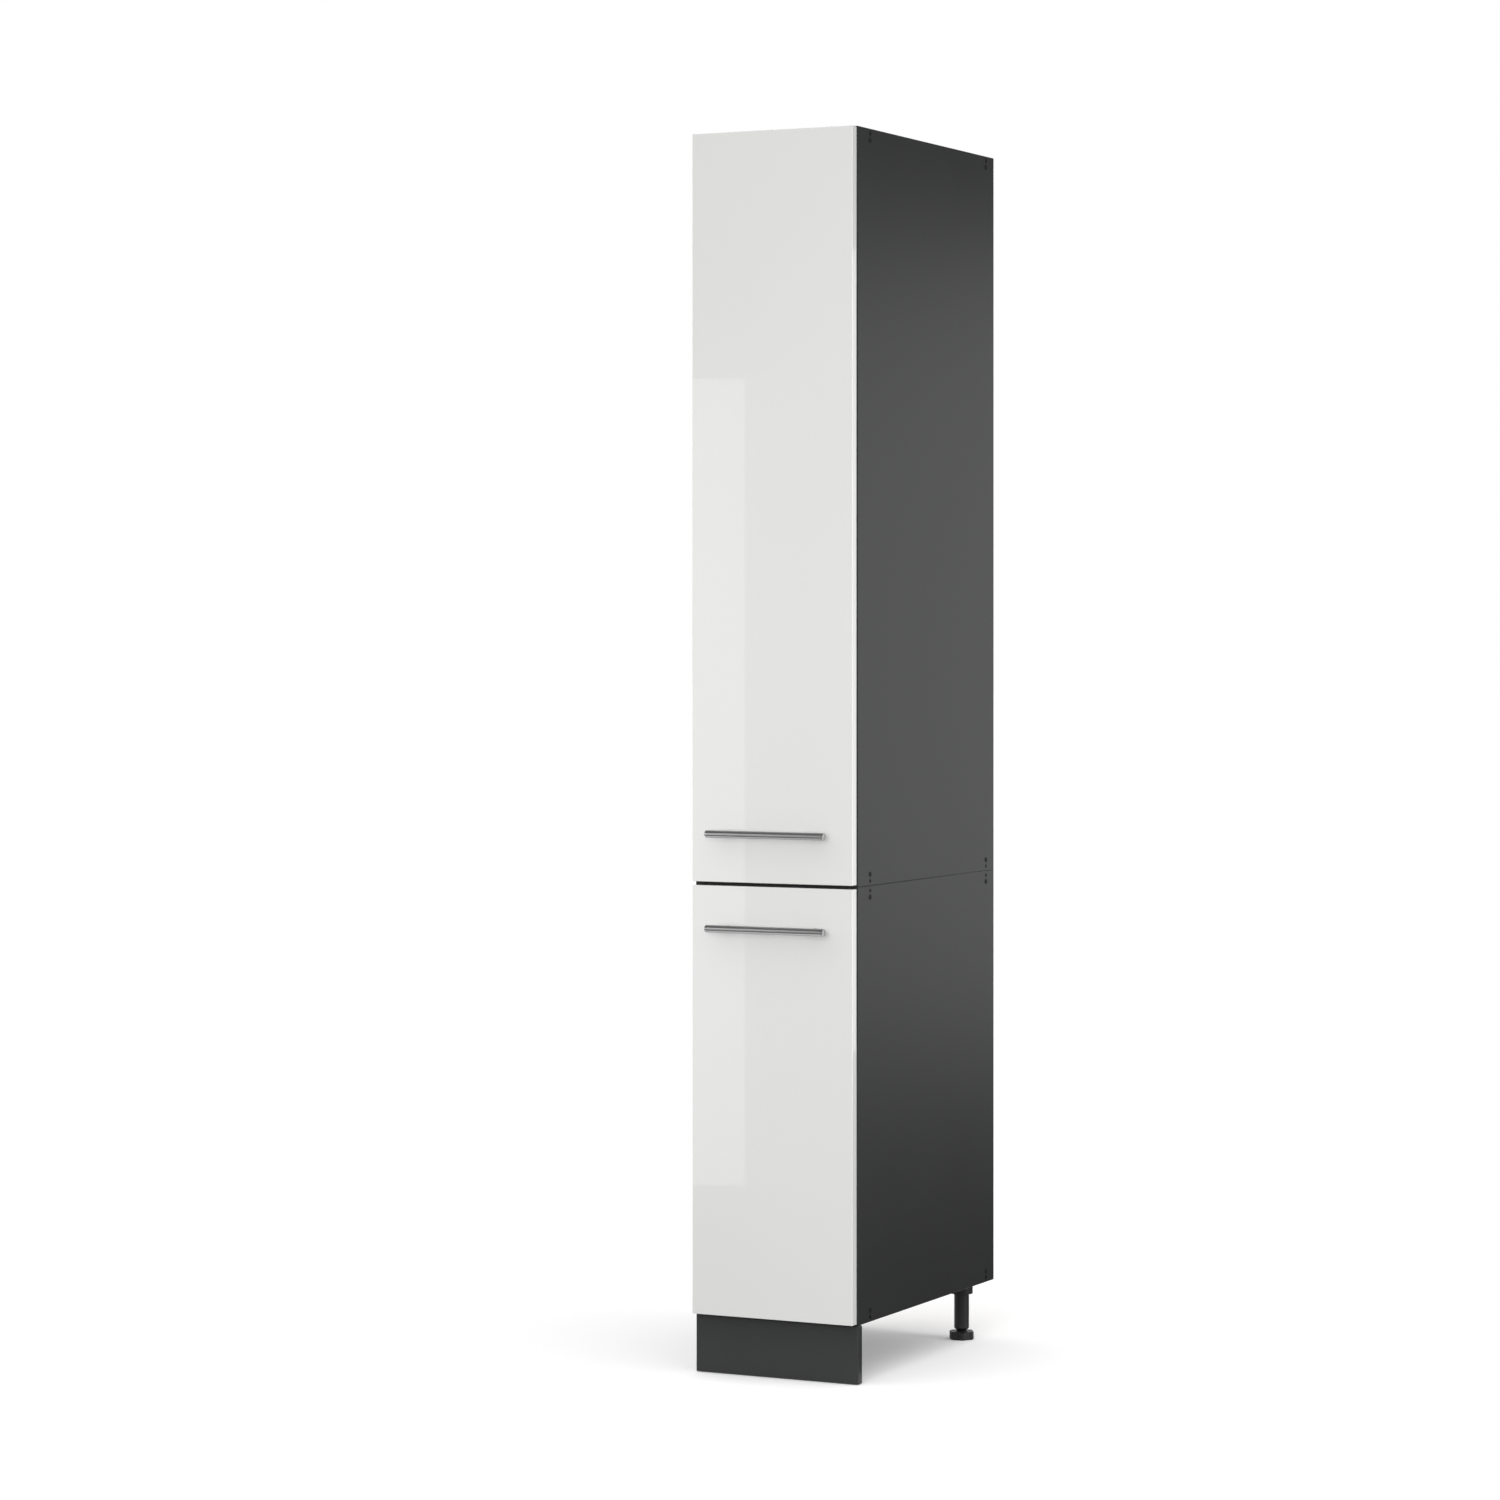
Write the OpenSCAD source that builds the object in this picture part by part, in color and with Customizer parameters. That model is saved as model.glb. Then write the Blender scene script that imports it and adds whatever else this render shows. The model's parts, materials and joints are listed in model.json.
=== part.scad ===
// Pull-out larder unit, 300 mm wide: two stacked carcasses on levelling feet, and in each
// a door with a frame and wire baskets that slides out on ball-bearing runners.
// Millimetres. X is to the right, Y to the back, Z up. The origin lies on the floor, under
// the middle of the unit's box.

/* [Carcass] */
// Outer width of the carcasses
unit_w = 300; // [280:5:400]
// Depth of the carcasses, without the doors
carcass_d = 555; // [550:5:620]
// Height of the lower carcass
lower_h = 720; // [560:10:900]
// Height of the upper carcass
upper_h = 1250; // [1000:10:1500]
// Thickness of the carcass boards
board_t = 16; // [15:0.5:19]
// Thickness of the back panels
back_t = 3; // [2.5:0.5:5]
// Rear edge of the sides to the back panel
back_inset = 12; // [8:1:14]
// Depth of the grooves that hold the back panels
groove_d = 6; // [4:0.5:8]

/* [Joints of the boards] */
// Front edge to the front screws
fix_front = 47; // [30:1:50]
// Rear edge to the rear screws
fix_rear = 34; // [28:1:40]
// Length of the carcass screws
confirmat_l = 50; // [40:1:60]
// Diameter of a carcass screw's head
confirmat_head_d = 9; // [8:0.5:10]
// Diameter of the dowels
dowel_d = 8; // [6:1:10]
// Length of the dowels
dowel_l = 30; // [25:1:36]
// Distance from a dowel to the next carcass screw
dowel_pitch = 64; // [40:8:96]
// Carcass end to the middle of a hole cap
cap_edge = 19; // [19:1:30]
// Diameter of a hole cap
cap_d = 8.5; // [8:0.5:12]
// Diameter of the hole under a cap
cap_hole_d = 5; // [4:0.5:6]
// How far a cap stands proud
cap_proud = 0.6; // [0.4:0.1:1.5]

/* [Doors] */
// Thickness of the doors
door_t = 16; // [15:0.5:22]
// Rounding of the door's front edges
door_round = 1.2; // [0.5:0.1:3]
// Gap between door and carcass, filled by the bumpers
door_gap = 1; // [1:0.1:1.8]
// Side of the door to the side of the carcass
side_reveal = 2; // [1:0.5:3]
// Gap between the two doors
door_joint = 6; // [3:0.5:8]
// Lower door's bottom edge above the carcass bottom
bottom_reveal = 2; // [1:0.5:4]
// Upper door's top edge below the carcass top
top_reveal = 1; // [1:0.5:4]

/* [Handles] */
// Diameter of the bar
bar_d = 12; // [8:0.5:14]
// Length of the bar
bar_l = 218; // [180:1:240]
// Distance between the posts
post_pitch = 160; // [128:1:170]
// Diameter of a post
post_d = 7; // [6:0.5:8]
// Door face to the near side of the bar
handle_standoff = 20; // [16:1:40]
// Upper handle above its door's bottom edge
upper_handle_up = 81; // [70:1:120]
// Lower handle below its door's top edge
lower_handle_down = 70; // [60:1:120]

/* [Feet and plinth] */
// Height of the carcass bottom above the floor
foot_h = 98; // [90:1:120]
// Side of the carcass to the middle of a front foot
front_foot_side = 47; // [40:1:60]
// Side of the carcass to the middle of a rear foot
rear_foot_side = 35; // [30:1:50]
// Front of the carcass to the middle of a front foot
foot_front = 60; // [56:1:90]
// Rear of the carcass to the middle of a rear foot
foot_rear = 60; // [50:1:100]
// Diameter of the shank
shank_d = 26; // [22:0.5:28]
// Diameter of the collar at the top
collar_d = 39; // [34:1:44]
// Height of the collar
collar_h = 18; // [12:1:24]
// Diameter of the lobed foot disc
disc_d = 45; // [40:1:50]
// Height of the foot disc
disc_h = 14; // [12:1:16]
// How far the foot screws out
foot_travel = 25; // [15:1:30]
// Thickness of the plinth board
plinth_t = 16; // [15:0.5:19]
// Carcass front to the front of the plinth
plinth_back = 1; // [0:0.5:4]
// Gap over and under the plinth
plinth_gap = 1; // [0.5:0.5:3]

/* [Runners] */
// Runners come in multiples of this length
runner_step = 50; // [25:25:50]
// Frame length that a runner leaves free, at least
runner_room = 15; // [12:1:20]
// Height of a runner
runner_h = 45.7; // [42:0.1:50]
// Thickness of a runner from the side panel to the carrier
runner_t = 12.7; // [12.4:0.1:14]
// Thickness of the runner members
member_t = 1.2; // [1:0.1:1.3]
// Diameter of the outer balls
outer_ball_d = 4; // [3.6:0.1:4.4]
// Diameter of the inner balls
inner_ball_d = 3.2; // [3:0.1:3.6]
// Balls in each row
row_balls = 5; // [3:1:6]
// Distance between the balls
ball_pitch = 22; // [18:1:24]
// Runner length that a pull-out keeps when it is open
travel_short = 20; // [20:5:100]

/* [Frame] */
// Width of the uprights
tube_w = 30; // [25:1:40]
// Depth of the uprights
tube_d = 20; // [18:1:24]
// Wall of the uprights and the beam
tube_wall = 1.5; // [1.2:0.1:2]
// Height of the top beam
beam_h = 20; // [15:1:30]
// Rear upright to the back panel
frame_room = 19; // [16:1:40]
// Thickness of the carrier's sheet
carrier_t = 1.5; // [1.2:0.1:2]
// Floor of the carcass to the carrier
carrier_lift = 8; // [6:0.5:12]
// Thickness of a door bracket
bracket_t = 2; // [2:0.1:2.5]
// Width of a door bracket
bracket_w = 64; // [56:1:80]
// Height of a door bracket
bracket_h = 40; // [30:1:60]

/* [Baskets] */
// Height of a basket
basket_h = 95; // [88:1:130]
// Gap between a basket and the carrier's flange
basket_gap = 3; // [2.5:0.5:8]
// Carrier to the lowest basket
basket_lift = 10; // [6:1:20]
// Diameter of the rim wire
rim_d = 6; // [5:0.5:8]
// Diameter of the hoops round a basket
hoop_d = 4; // [3:0.5:5]
// Diameter of the mesh wires
wire_d = 3; // [2.5:0.5:4]
// Cross wires of a basket
cross_wires = 9; // [5:1:12]
// Long wires of a basket
long_wires = 5; // [3:2:7]

/* [Guide] */
// Width of the guide rail
guide_w = 24; // [20:1:30]
// Height of the guide rail
guide_h = 14; // [12:1:18]
// Carcass front to the guide rail
guide_front = 10; // [6:1:12]
// Length of the guide rail behind the parked shoe
guide_past = 14; // [8:1:15]

/* [Hidden] */
$fn = 48;

// Colours
anthracite = "#4a4b4c";
gloss_white = "#e8e8e6";
steel = "#a9abad";
chrome = "#c9cccf";
silver = "#b4b6b8";
black = "#202122";
beech = "#c9a878";
clear = "#d8dadb";

// The two units: 0 is the lower carcass, 1 the upper one
LOWER = 0;
UPPER = 1;
baskets_in = [2, 4];
brackets_in = [3, 4];

// Clearances
fit = 0.05;         // round part in its hole, all round
slide_gap = 0.3;    // flat parts that slide past each other
weld = 0.8;         // how deep welded wires run into each other
ball_gap = 0.1;     // ball to its race and to its cage
plug_gap = 0.2;     // plug or hook to the end of its hole
over = 1;           // how far a cut runs past a face

// Levels and widths of the carcasses
inner_w = unit_w - 2 * board_t;
board_d = carcass_d - back_inset - back_t;
function base_z(u) = u == LOWER ? foot_h : foot_h + lower_h;
function carcass_h(u) = u == LOWER ? lower_h : upper_h;
function floor_z(u) = base_z(u) + board_t;
function top_z(u) = base_z(u) + carcass_h(u);
function ceiling_z(u) = top_z(u) - board_t;

// Doors and handles
door_w = unit_w - 2 * side_reveal;
function door_z0(u) = base_z(u) + (u == LOWER ? bottom_reveal : door_joint / 2);
function door_z1(u) = top_z(u) - (u == LOWER ? door_joint / 2 : top_reveal);
door_back_y = -door_gap;
door_face_y = door_back_y - door_t;
bar_y = door_face_y - handle_standoff - bar_d / 2;
function handle_z(u) = u == LOWER ? door_z1(u) - lower_handle_down : door_z0(u) + upper_handle_up;
groove_in = 4;      // end of the bar to its groove
groove_w = 1.2;
groove_cut = 0.7;
bar_chamfer = 0.5;
handle_screw_d = 4;
handle_screw_in = 12;

// The unit's box is centred on the origin, so this is where the carcass front lies
reach = door_gap + door_t + handle_standoff + bar_d;
front_y = (reach - carcass_d) / 2;

// Screws
screw_d = 3.5;
screw_l = 12;
screw_head_d = 8;
screw_head_t = 1;
machine_d = 4;
machine_l = 6;
back_gap = 0.5;     // back panel to the bottom of its groove
back_end = 1;       // carcass end to the back panel
confirmat_d = 7;
confirmat_core_d = 5;
confirmat_head_t = 3;
hex_key_d = 5;
key_depth = 2.5;
bolt_d = 6;
bolt_head_d = 13;
bolt_head_t = 2;
key_depth_bolt = 1.5;
bolt_side = 90;
bolt_ends = 90;
cap_stem_l = 10;
bumper_d = 8;
bumper_end = 30;    // door's end to the bumper

// Length of the frame and of its runners, and how far a pull-out slides out
frame_y0 = bracket_t - door_gap;
frame_y1 = board_d - frame_room;
frame_l = frame_y1 - frame_y0;
runner_l = runner_step * floor((frame_l - runner_room) / runner_step);
travel = runner_l - travel_short;

// Runners, measured from the side panel (u) and from the runner's middle height (v)
runner_front = 2;
runner_lift = 3;
function runner_z(u) = floor_z(u) + runner_lift + runner_h / 2;
head_gap = 0.4;
lip = 2.4;
lip_short = 0.6;    // the middle member's lip is shorter
inner_gap = 1.2;    // middle member's web to the inner member's flanges
outer_depth = runner_t - member_t;
middle_u = member_t + screw_head_t + head_gap;
outer_v = runner_h / 2;
middle_v = outer_v - member_t - outer_ball_d - 2 * ball_gap;
inner_v = middle_v - member_t - inner_ball_d - 2 * ball_gap;
inner_u = middle_u + member_t + inner_gap;
outer_row_u = (middle_u + outer_depth - member_t) / 2;
inner_row_u = (inner_u + outer_depth - member_t) / 2;
cage_w = 4.8;
cage_t = 1.2;
cage_end = 8;
cage_l = (row_balls - 1) * ball_pitch + 2 * cage_end;
cage_stop = 8;      // the cages stop this far behind the runner's front end
cage_front = runner_front + travel / 4 + cage_stop;
runner_screw_end = 24;
runner_screws = [runner_screw_end, runner_l / 2, runner_l - runner_screw_end];
guide_screw_front = 40;
guide_screw_rear = 60;
guide_l = frame_y1 + guide_past - guide_front;
guide_screws = [guide_screw_front, guide_l / 2, guide_l - guide_screw_rear];

// Frame: the uprights stand on the carrier, between the runners
carrier_w = inner_w - 2 * runner_t;
carrier_flange = 36;
basket_y0 = frame_y0 + tube_d;
basket_l = frame_l - 2 * tube_d;
basket_w = carrier_w - 2 * carrier_t - 2 * basket_gap;
guide_wall = 1.5;
shoe_gap = 6;
shoe_top_gap = 2.5;
shoe_plug_h = 14;
function carrier_z(u) = floor_z(u) + carrier_lift;
function upright_z0(u) = carrier_z(u) + carrier_t;
function upright_z1(u) = ceiling_z(u) - guide_h - shoe_gap;
function beam_z(u) = upright_z1(u) - beam_h;
function first_basket_z(u) = upright_z0(u) + basket_lift;
function basket_pitch(u) = (beam_z(u) - first_basket_z(u)) / baskets_in[u];
function basket_z(u, i) = first_basket_z(u) + i * basket_pitch(u);
bracket_end = 26;
function brackets_span(u) = upright_z1(u) - upright_z0(u) - 2 * bracket_end - bracket_h;
function bracket_pitch(u) = brackets_span(u) / (brackets_in[u] - 1);
function bracket_z(u, i) = upright_z0(u) + bracket_end + bracket_h / 2 + i * bracket_pitch(u);
bracket_screw_end = 9;
bracket_screw_x = bracket_w / 2 - bracket_screw_end;

// Baskets
plate_t = 2;
plate_w = 26;
plate_h = 72;
hook_w = 3;
hook_x = 7;
hook_z = 50;        // rim to the hooks' seat
hook_h = 8;
hook_drop = 6;
tongue_t = 2.5;
hook_gap = 0.3;     // hook's tongue to the inside of the upright
slot_room = 3;      // slot above the hook, to lift the basket out
slot_h = hook_h + hook_drop + slot_room;
bend_r = 8;
rim_r = 14;
skin = hoop_d + wire_d / 2 - weld;      // outside of a basket to the middle of its mesh wires
leg_x = basket_w / 2 - skin;
leg_y = plate_t - weld + skin;
cross_z = 1.5 * wire_d - weld;
low_hoop_z = 16;
mesh_inset = 26;

// Feet
shank_gap = 3;      // foot disc to shank
shank_round = 3;
spigot_d = 16;
socket_roof = 2.2;
plug_d = 20;
plug_to_screw = 1;  // plug to the carcass screw above it
plug_h = board_t / 2 - confirmat_core_d / 2 - plug_to_screw;
socket_bore = collar_h + plug_h - socket_roof;
spigot_gap = 0.5;   // spigot to the screw's head
spigot_h = socket_bore - screw_head_t - spigot_gap;
stem_d = 10;
stem_hold = 33;     // stem left in the shank when the foot is screwed out
stem_l = foot_travel + stem_hold;
stem_gap = 0.1;
stem_room = 1;      // end of the stem to the end of its bore
hub_d = 22;
hub_top_d = 14;
hub_gap = 0.2;
disc_chamfer = 1.5;
lobes = 6;
lobe_d = 13;
clip_h = 14;
clip_wall = 3;
clip_plate_w = 44;
clip_plate_h = 34;
clip_plate_t = 2.5;
clip_arm_w = 9;
clip_screw_end = 7;
clip_mouth = 0.75;  // opening of the ring, as a share of its bore

// Wall brackets
wall_bracket_x = 90;
wall_bracket_w = 40;
wall_bracket_leg = 26;
wall_bracket_drop = 44;
wall_bracket_t = 2;
wall_hole_d = 6.5;
wall_hole_down = 26;
wall_hole_room = 1; // round the screw, in the back panel
wall_screw_end = 9;
wall_screw_x = wall_bracket_w / 2 - wall_screw_end;
wall_screw_y = board_d - (wall_bracket_leg + wall_bracket_t) / 2;

// ---------------------------------------------------------------- helpers

// Puts a piece, drawn from the carcass front, at its place round the origin
module placed() {
    translate([0, front_y, 0]) children();
}

// A box from its lowest to its highest corner
module block(low, high) {
    translate(low) cube(high - low);
}

// Runs an outline in X and Z back along Y
module along_y(y0, length) {
    translate([0, y0 + length, 0]) rotate([90, 0, 0]) linear_extrude(length) children();
}

module both_sides() {
    children();
    mirror([1, 0, 0]) children();
}

// Screw whose head rests on z = 0 and whose shank runs up; wider stands for its hole
module screw(d, length, wider = 0) {
    cylinder(d = d + 2 * wider, h = length);
    translate([0, 0, -screw_head_t]) cylinder(d = screw_head_d + 2 * wider, h = screw_head_t);
}

module wood_screw(wider = 0) {
    screw(screw_d, screw_l, wider);
}

module machine_screw(wider = 0) {
    screw(machine_d, machine_l, wider);
}

// Turns +Z to the outside of the carcass on side s, or to its inside
module facing_out(s) {
    rotate([0, s * 90, 0]) children();
}

module facing_in(s) {
    rotate([0, -s * 90, 0]) children();
}

// ---------------------------------------------------------------- carcass fittings

module confirmat(wider = 0) {
    difference() {
        union() {
            cylinder(d = confirmat_head_d + 2 * wider, h = confirmat_head_t);
            cylinder(d = confirmat_d + 2 * wider, h = board_t);
            cylinder(d = confirmat_core_d + 2 * wider, h = confirmat_l + 2 * wider);
        }
        if (wider == 0)
            translate([0, 0, -over]) cylinder(d = hex_key_d, h = over + key_depth, $fn = 6);
    }
}

module at_confirmats(u) {
    for (s = [-1, 1], y = [fix_front, carcass_d - fix_rear], z = [floor_z(u), ceiling_z(u) + board_t])
        translate([s * unit_w / 2, y, z - board_t / 2]) facing_in(s) children();
}

// Dowels lie half a millimetre short of the ends of their holes
dowel_skin = 4;     // board left outside a dowel
dowel_in_side = board_t - dowel_skin;
dowel_slack = 0.5;

module dowel(wider = 0) {
    slack = wider > 0 ? dowel_slack : 0;
    translate([0, 0, -dowel_in_side - slack]) cylinder(d = dowel_d + 2 * wider, h = dowel_l + 2 * slack);
}

module at_dowels(u) {
    for (s = [-1, 1], z = [floor_z(u), ceiling_z(u) + board_t],
            y = [fix_front + dowel_pitch, carcass_d - fix_rear - dowel_pitch])
        translate([s * inner_w / 2, y, z - board_t / 2]) facing_in(s) children();
}

module at_caps(u) {
    for (s = [-1, 1], y = [fix_front, carcass_d - fix_rear], z = [base_z(u) + cap_edge, top_z(u) - cap_edge])
        translate([s * unit_w / 2, y, z]) facing_in(s) children();
}

module at_runner_screws(u) {
    for (s = [-1, 1], y = runner_screws)
        translate([s * (inner_w / 2 - member_t), runner_front + y, runner_z(u)]) facing_out(s) children();
}

module at_guide_screws(u) {
    for (y = guide_screws)
        translate([0, guide_front + y, ceiling_z(u) - guide_wall]) children();
}

module stack_bolt(wider = 0) {
    length = 2 * board_t;
    translate([0, 0, -board_t]) cylinder(d = bolt_d + 2 * wider, h = length);
    if (wider == 0) {
        translate([0, 0, -board_t - bolt_head_t]) cylinder(d = bolt_head_d, h = bolt_head_t);
        difference() {
            translate([0, 0, board_t]) cylinder(d = bolt_head_d, h = bolt_head_t);
            translate([0, 0, board_t + bolt_head_t - key_depth_bolt])
                cylinder(d = hex_key_d, h = bolt_head_t, $fn = 6);
        }
    }
}

module at_stack_bolts() {
    for (x = [-bolt_side, bolt_side], y = [bolt_ends, board_d - bolt_ends])
        translate([x, y, base_z(UPPER)]) children();
}

// ---------------------------------------------------------------- carcasses

module side_board(u, s) {
    color(anthracite) difference() {
        translate([s * (unit_w - board_t) / 2 - board_t / 2, 0, base_z(u)])
            cube([board_t, carcass_d, carcass_h(u)]);
        translate([s * (inner_w / 2 + groove_d / 2) - groove_d / 2, board_d, base_z(u) - over])
            cube([groove_d, back_t + plug_gap, carcass_h(u) + 2 * over]);
        at_confirmats(u) confirmat(fit);
        at_dowels(u) dowel(fit);
        at_caps(u) cap_hole();
        at_runner_screws(u) wood_screw(fit);
    }
}

module bottom_board(u) {
    color(anthracite) difference() {
        block([-inner_w / 2, 0, base_z(u)], [inner_w / 2, board_d, floor_z(u)]);
        at_confirmats(u) confirmat(fit);
        at_dowels(u) dowel(fit);
        if (u == LOWER) {
            at_feet() translate([0, 0, foot_h - over])
                cylinder(d = plug_d + 2 * fit, h = over + plug_h + plug_gap);
            at_socket_screws() wood_screw(fit);
        }
        if (u == UPPER)
            at_stack_bolts() stack_bolt(fit);
    }
}

module top_board(u) {
    color(anthracite) difference() {
        block([-inner_w / 2, 0, ceiling_z(u)], [inner_w / 2, board_d, top_z(u)]);
        at_confirmats(u) confirmat(fit);
        at_dowels(u) dowel(fit);
        at_guide_screws(u) wood_screw(fit);
        if (u == LOWER)
            at_stack_bolts() stack_bolt(fit);
        if (u == UPPER)
            at_bracket_screws() wood_screw(fit);
    }
}

module back_panel(u) {
    half_w = inner_w / 2 + groove_d - back_gap;
    color(anthracite) difference() {
        block([-half_w, board_d, base_z(u) + back_end], [half_w, board_d + back_t, top_z(u) - back_end]);
        if (u == UPPER)
            at_wall_holes() cylinder(d = wall_hole_d + 2 * wall_hole_room, h = 4 * back_t, center = true);
    }
}

module dowels() {
    color(beech) for (u = [LOWER, UPPER]) at_dowels(u) dowel();
}

module carcass_screws() {
    color(black) for (u = [LOWER, UPPER]) at_confirmats(u) confirmat();
}

module cap_hole() {
    translate([0, 0, -over]) cylinder(d = cap_hole_d + 2 * fit, h = board_t + 2 * over);
}

module hole_caps() {
    color(black) for (u = [LOWER, UPPER]) at_caps(u) {
        translate([0, 0, -cap_proud]) cylinder(d = cap_d, h = cap_proud);
        cylinder(d = cap_hole_d, h = cap_stem_l);
    }
}

module stack_bolts() {
    color(steel) at_stack_bolts() stack_bolt();
}

module door_bumpers() {
    x = (unit_w - board_t) / 2;
    color(clear) for (u = [LOWER, UPPER], s = [-1, 1], z = [door_z0(u) + bumper_end, door_z1(u) - bumper_end])
        translate([s * x, 0, z]) rotate([90, 0, 0]) cylinder(d = bumper_d, h = door_gap);
}

// ---------------------------------------------------------------- feet and plinth

front_foot_x = unit_w / 2 - front_foot_side;
rear_foot_x = unit_w / 2 - rear_foot_side;
shank_z0 = disc_h + shank_gap;
shank_z1 = foot_h - collar_h;

// Middle of a foot: sx is -1 on the left, sy is -1 at the front
function foot_at(sx, sy) =
    sy < 0 ? [sx * front_foot_x, foot_front, 0] : [sx * rear_foot_x, carcass_d - foot_rear, 0];

module at_feet() {
    for (sx = [-1, 1], sy = [-1, 1])
        translate(foot_at(sx, sy)) children();
}

// A socket's screw goes up through its roof into the bottom board
module at_socket_screws() {
    at_feet() translate([0, 0, shank_z1 + socket_bore]) children();
}

module foot_sockets() {
    color(black) difference() {
        at_feet() translate([0, 0, shank_z1]) difference() {
            union() {
                cylinder(d = collar_d, h = collar_h);
                cylinder(d = plug_d, h = collar_h + plug_h);
            }
            translate([0, 0, -over]) cylinder(d = spigot_d + 2 * fit, h = socket_bore + over);
        }
        at_socket_screws() wood_screw(fit);
    }
}

module foot_shanks() {
    r = shank_d / 2;
    bore_r = stem_d / 2 + stem_gap;
    color(black) at_feet() translate([0, 0, shank_z0]) difference() {
        rotate_extrude() polygon([
            [0, 0], [r - shank_round, 0], [r, shank_round], [r, shank_z1 - shank_z0],
            [spigot_d / 2, shank_z1 - shank_z0], [spigot_d / 2, shank_z1 - shank_z0 + spigot_h],
            [0, shank_z1 - shank_z0 + spigot_h]
        ]);
        translate([0, 0, -over]) cylinder(r = bore_r, h = over + stem_l + stem_room);
    }
}

// Lobed disc with a hub and the stem that screws into the shank
module screw_foot(sx, sy) {
    lobe_r = disc_d / 2 - lobe_d / 2;
    color(black) translate(foot_at(sx, sy)) {
        intersection() {
            linear_extrude(disc_h) {
                circle(d = disc_d - lobe_d / 2);
                for (i = [0:lobes - 1])
                    rotate(i * 360 / lobes) translate([lobe_r, 0]) circle(d = lobe_d);
            }
            rotate_extrude() polygon([
                [0, 0], [disc_d / 2 - disc_chamfer, 0], [disc_d / 2, disc_chamfer],
                [disc_d / 2, disc_h - disc_chamfer], [disc_d / 2 - disc_chamfer, disc_h], [0, disc_h]
            ]);
        }
        translate([0, 0, disc_h]) cylinder(d1 = hub_d, d2 = hub_top_d, h = shank_gap - hub_gap);
        cylinder(d = stem_d, h = shank_z0 + stem_l);
    }
}

plinth_y1 = plinth_back + plinth_t;
plinth_z1 = foot_h - plinth_gap;
clip_z = plinth_gap + (plinth_z1 - plinth_gap) / 2;

module at_clip_screws() {
    for (x = [-front_foot_x, front_foot_x], side = [-1, 1])
        translate([x + side * (clip_plate_w / 2 - clip_screw_end), plinth_y1 + clip_plate_t, clip_z])
            rotate([90, 0, 0]) children();
}

module plinth() {
    color(anthracite) difference() {
        block([-unit_w / 2, plinth_back, plinth_gap], [unit_w / 2, plinth_y1, plinth_z1]);
        at_clip_screws() wood_screw(fit);
    }
}

module plinth_clips() {
    ring_r = shank_d / 2 + stem_gap;
    color(black) difference() {
        for (x = [-front_foot_x, front_foot_x]) {
            block([x - clip_plate_w / 2, plinth_y1, clip_z - clip_plate_h / 2],
                [x + clip_plate_w / 2, plinth_y1 + clip_plate_t, clip_z + clip_plate_h / 2]);
            block([x - clip_arm_w / 2, plinth_y1, clip_z - clip_h / 2],
                [x + clip_arm_w / 2, foot_front - ring_r - clip_wall / 2, clip_z + clip_h / 2]);
            translate([x, foot_front, clip_z - clip_h / 2]) difference() {
                cylinder(r = ring_r + clip_wall, h = clip_h);
                translate([0, 0, -over]) cylinder(r = ring_r, h = clip_h + 2 * over);
                translate([-ring_r * clip_mouth, 0, -over])
                    cube([2 * ring_r * clip_mouth, 2 * ring_r, clip_h + 2 * over]);
            }
        }
        at_clip_screws() wood_screw(fit);
    }
}

// ---------------------------------------------------------------- wall brackets and wood screws

module at_wall_holes() {
    for (x = [-wall_bracket_x, wall_bracket_x])
        translate([x, board_d, ceiling_z(UPPER) - wall_hole_down]) rotate([-90, 0, 0]) children();
}

module at_bracket_screws() {
    for (x = [-wall_bracket_x, wall_bracket_x], side = [-1, 1])
        translate([x + side * wall_screw_x, wall_screw_y, ceiling_z(UPPER) - wall_bracket_t]) children();
}

module wall_brackets() {
    z1 = ceiling_z(UPPER);
    color(steel) difference() {
        for (x = [-wall_bracket_x, wall_bracket_x]) {
            block([x - wall_bracket_w / 2, board_d - wall_bracket_leg, z1 - wall_bracket_t],
                [x + wall_bracket_w / 2, board_d, z1]);
            block([x - wall_bracket_w / 2, board_d - wall_bracket_t, z1 - wall_bracket_drop],
                [x + wall_bracket_w / 2, board_d, z1]);
        }
        at_wall_holes() cylinder(d = wall_hole_d, h = 4 * wall_bracket_t, center = true);
        at_bracket_screws() wood_screw(fit);
    }
}

module wood_screws() {
    color(steel) {
        for (u = [LOWER, UPPER]) {
            at_runner_screws(u) wood_screw();
            at_guide_screws(u) wood_screw();
        }
        at_bracket_screws() wood_screw();
        at_clip_screws() wood_screw();
        at_socket_screws() wood_screw();
    }
}

// ---------------------------------------------------------------- runners

// Outline of one member on the right-hand side; u runs from the side panel into the unit
module in_runner(u) {
    translate([inner_w / 2, 0, runner_z(u)]) mirror([1, 0, 0]) along_y(runner_front, runner_l) children();
}

module outer_outline() {
    translate([0, -outer_v]) square([member_t, 2 * outer_v]);
    for (m = [0, 1]) mirror([0, m]) {
        translate([0, outer_v - member_t]) square([outer_depth, member_t]);
        translate([outer_depth - member_t, outer_v - member_t - lip]) square([member_t, lip + member_t]);
    }
}

module middle_outline() {
    translate([middle_u, -middle_v]) square([member_t, 2 * middle_v]);
    for (m = [0, 1]) mirror([0, m]) {
        translate([middle_u, middle_v - member_t]) square([outer_depth - middle_u, member_t]);
        translate([outer_depth - member_t, middle_v - member_t - lip + lip_short])
            square([member_t, lip + member_t - lip_short]);
    }
}

module inner_outline() {
    translate([runner_t - member_t, -inner_v]) square([member_t, 2 * inner_v]);
    for (m = [0, 1]) mirror([0, m])
        translate([inner_u, inner_v - member_t]) square([runner_t - inner_u, member_t]);
}

module outer_runners(u) {
    color(steel) difference() {
        both_sides() in_runner(u) outer_outline();
        at_runner_screws(u) wood_screw(fit);
    }
}

module middle_runners(u) {
    color(steel) both_sides() in_runner(u) middle_outline();
}

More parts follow.
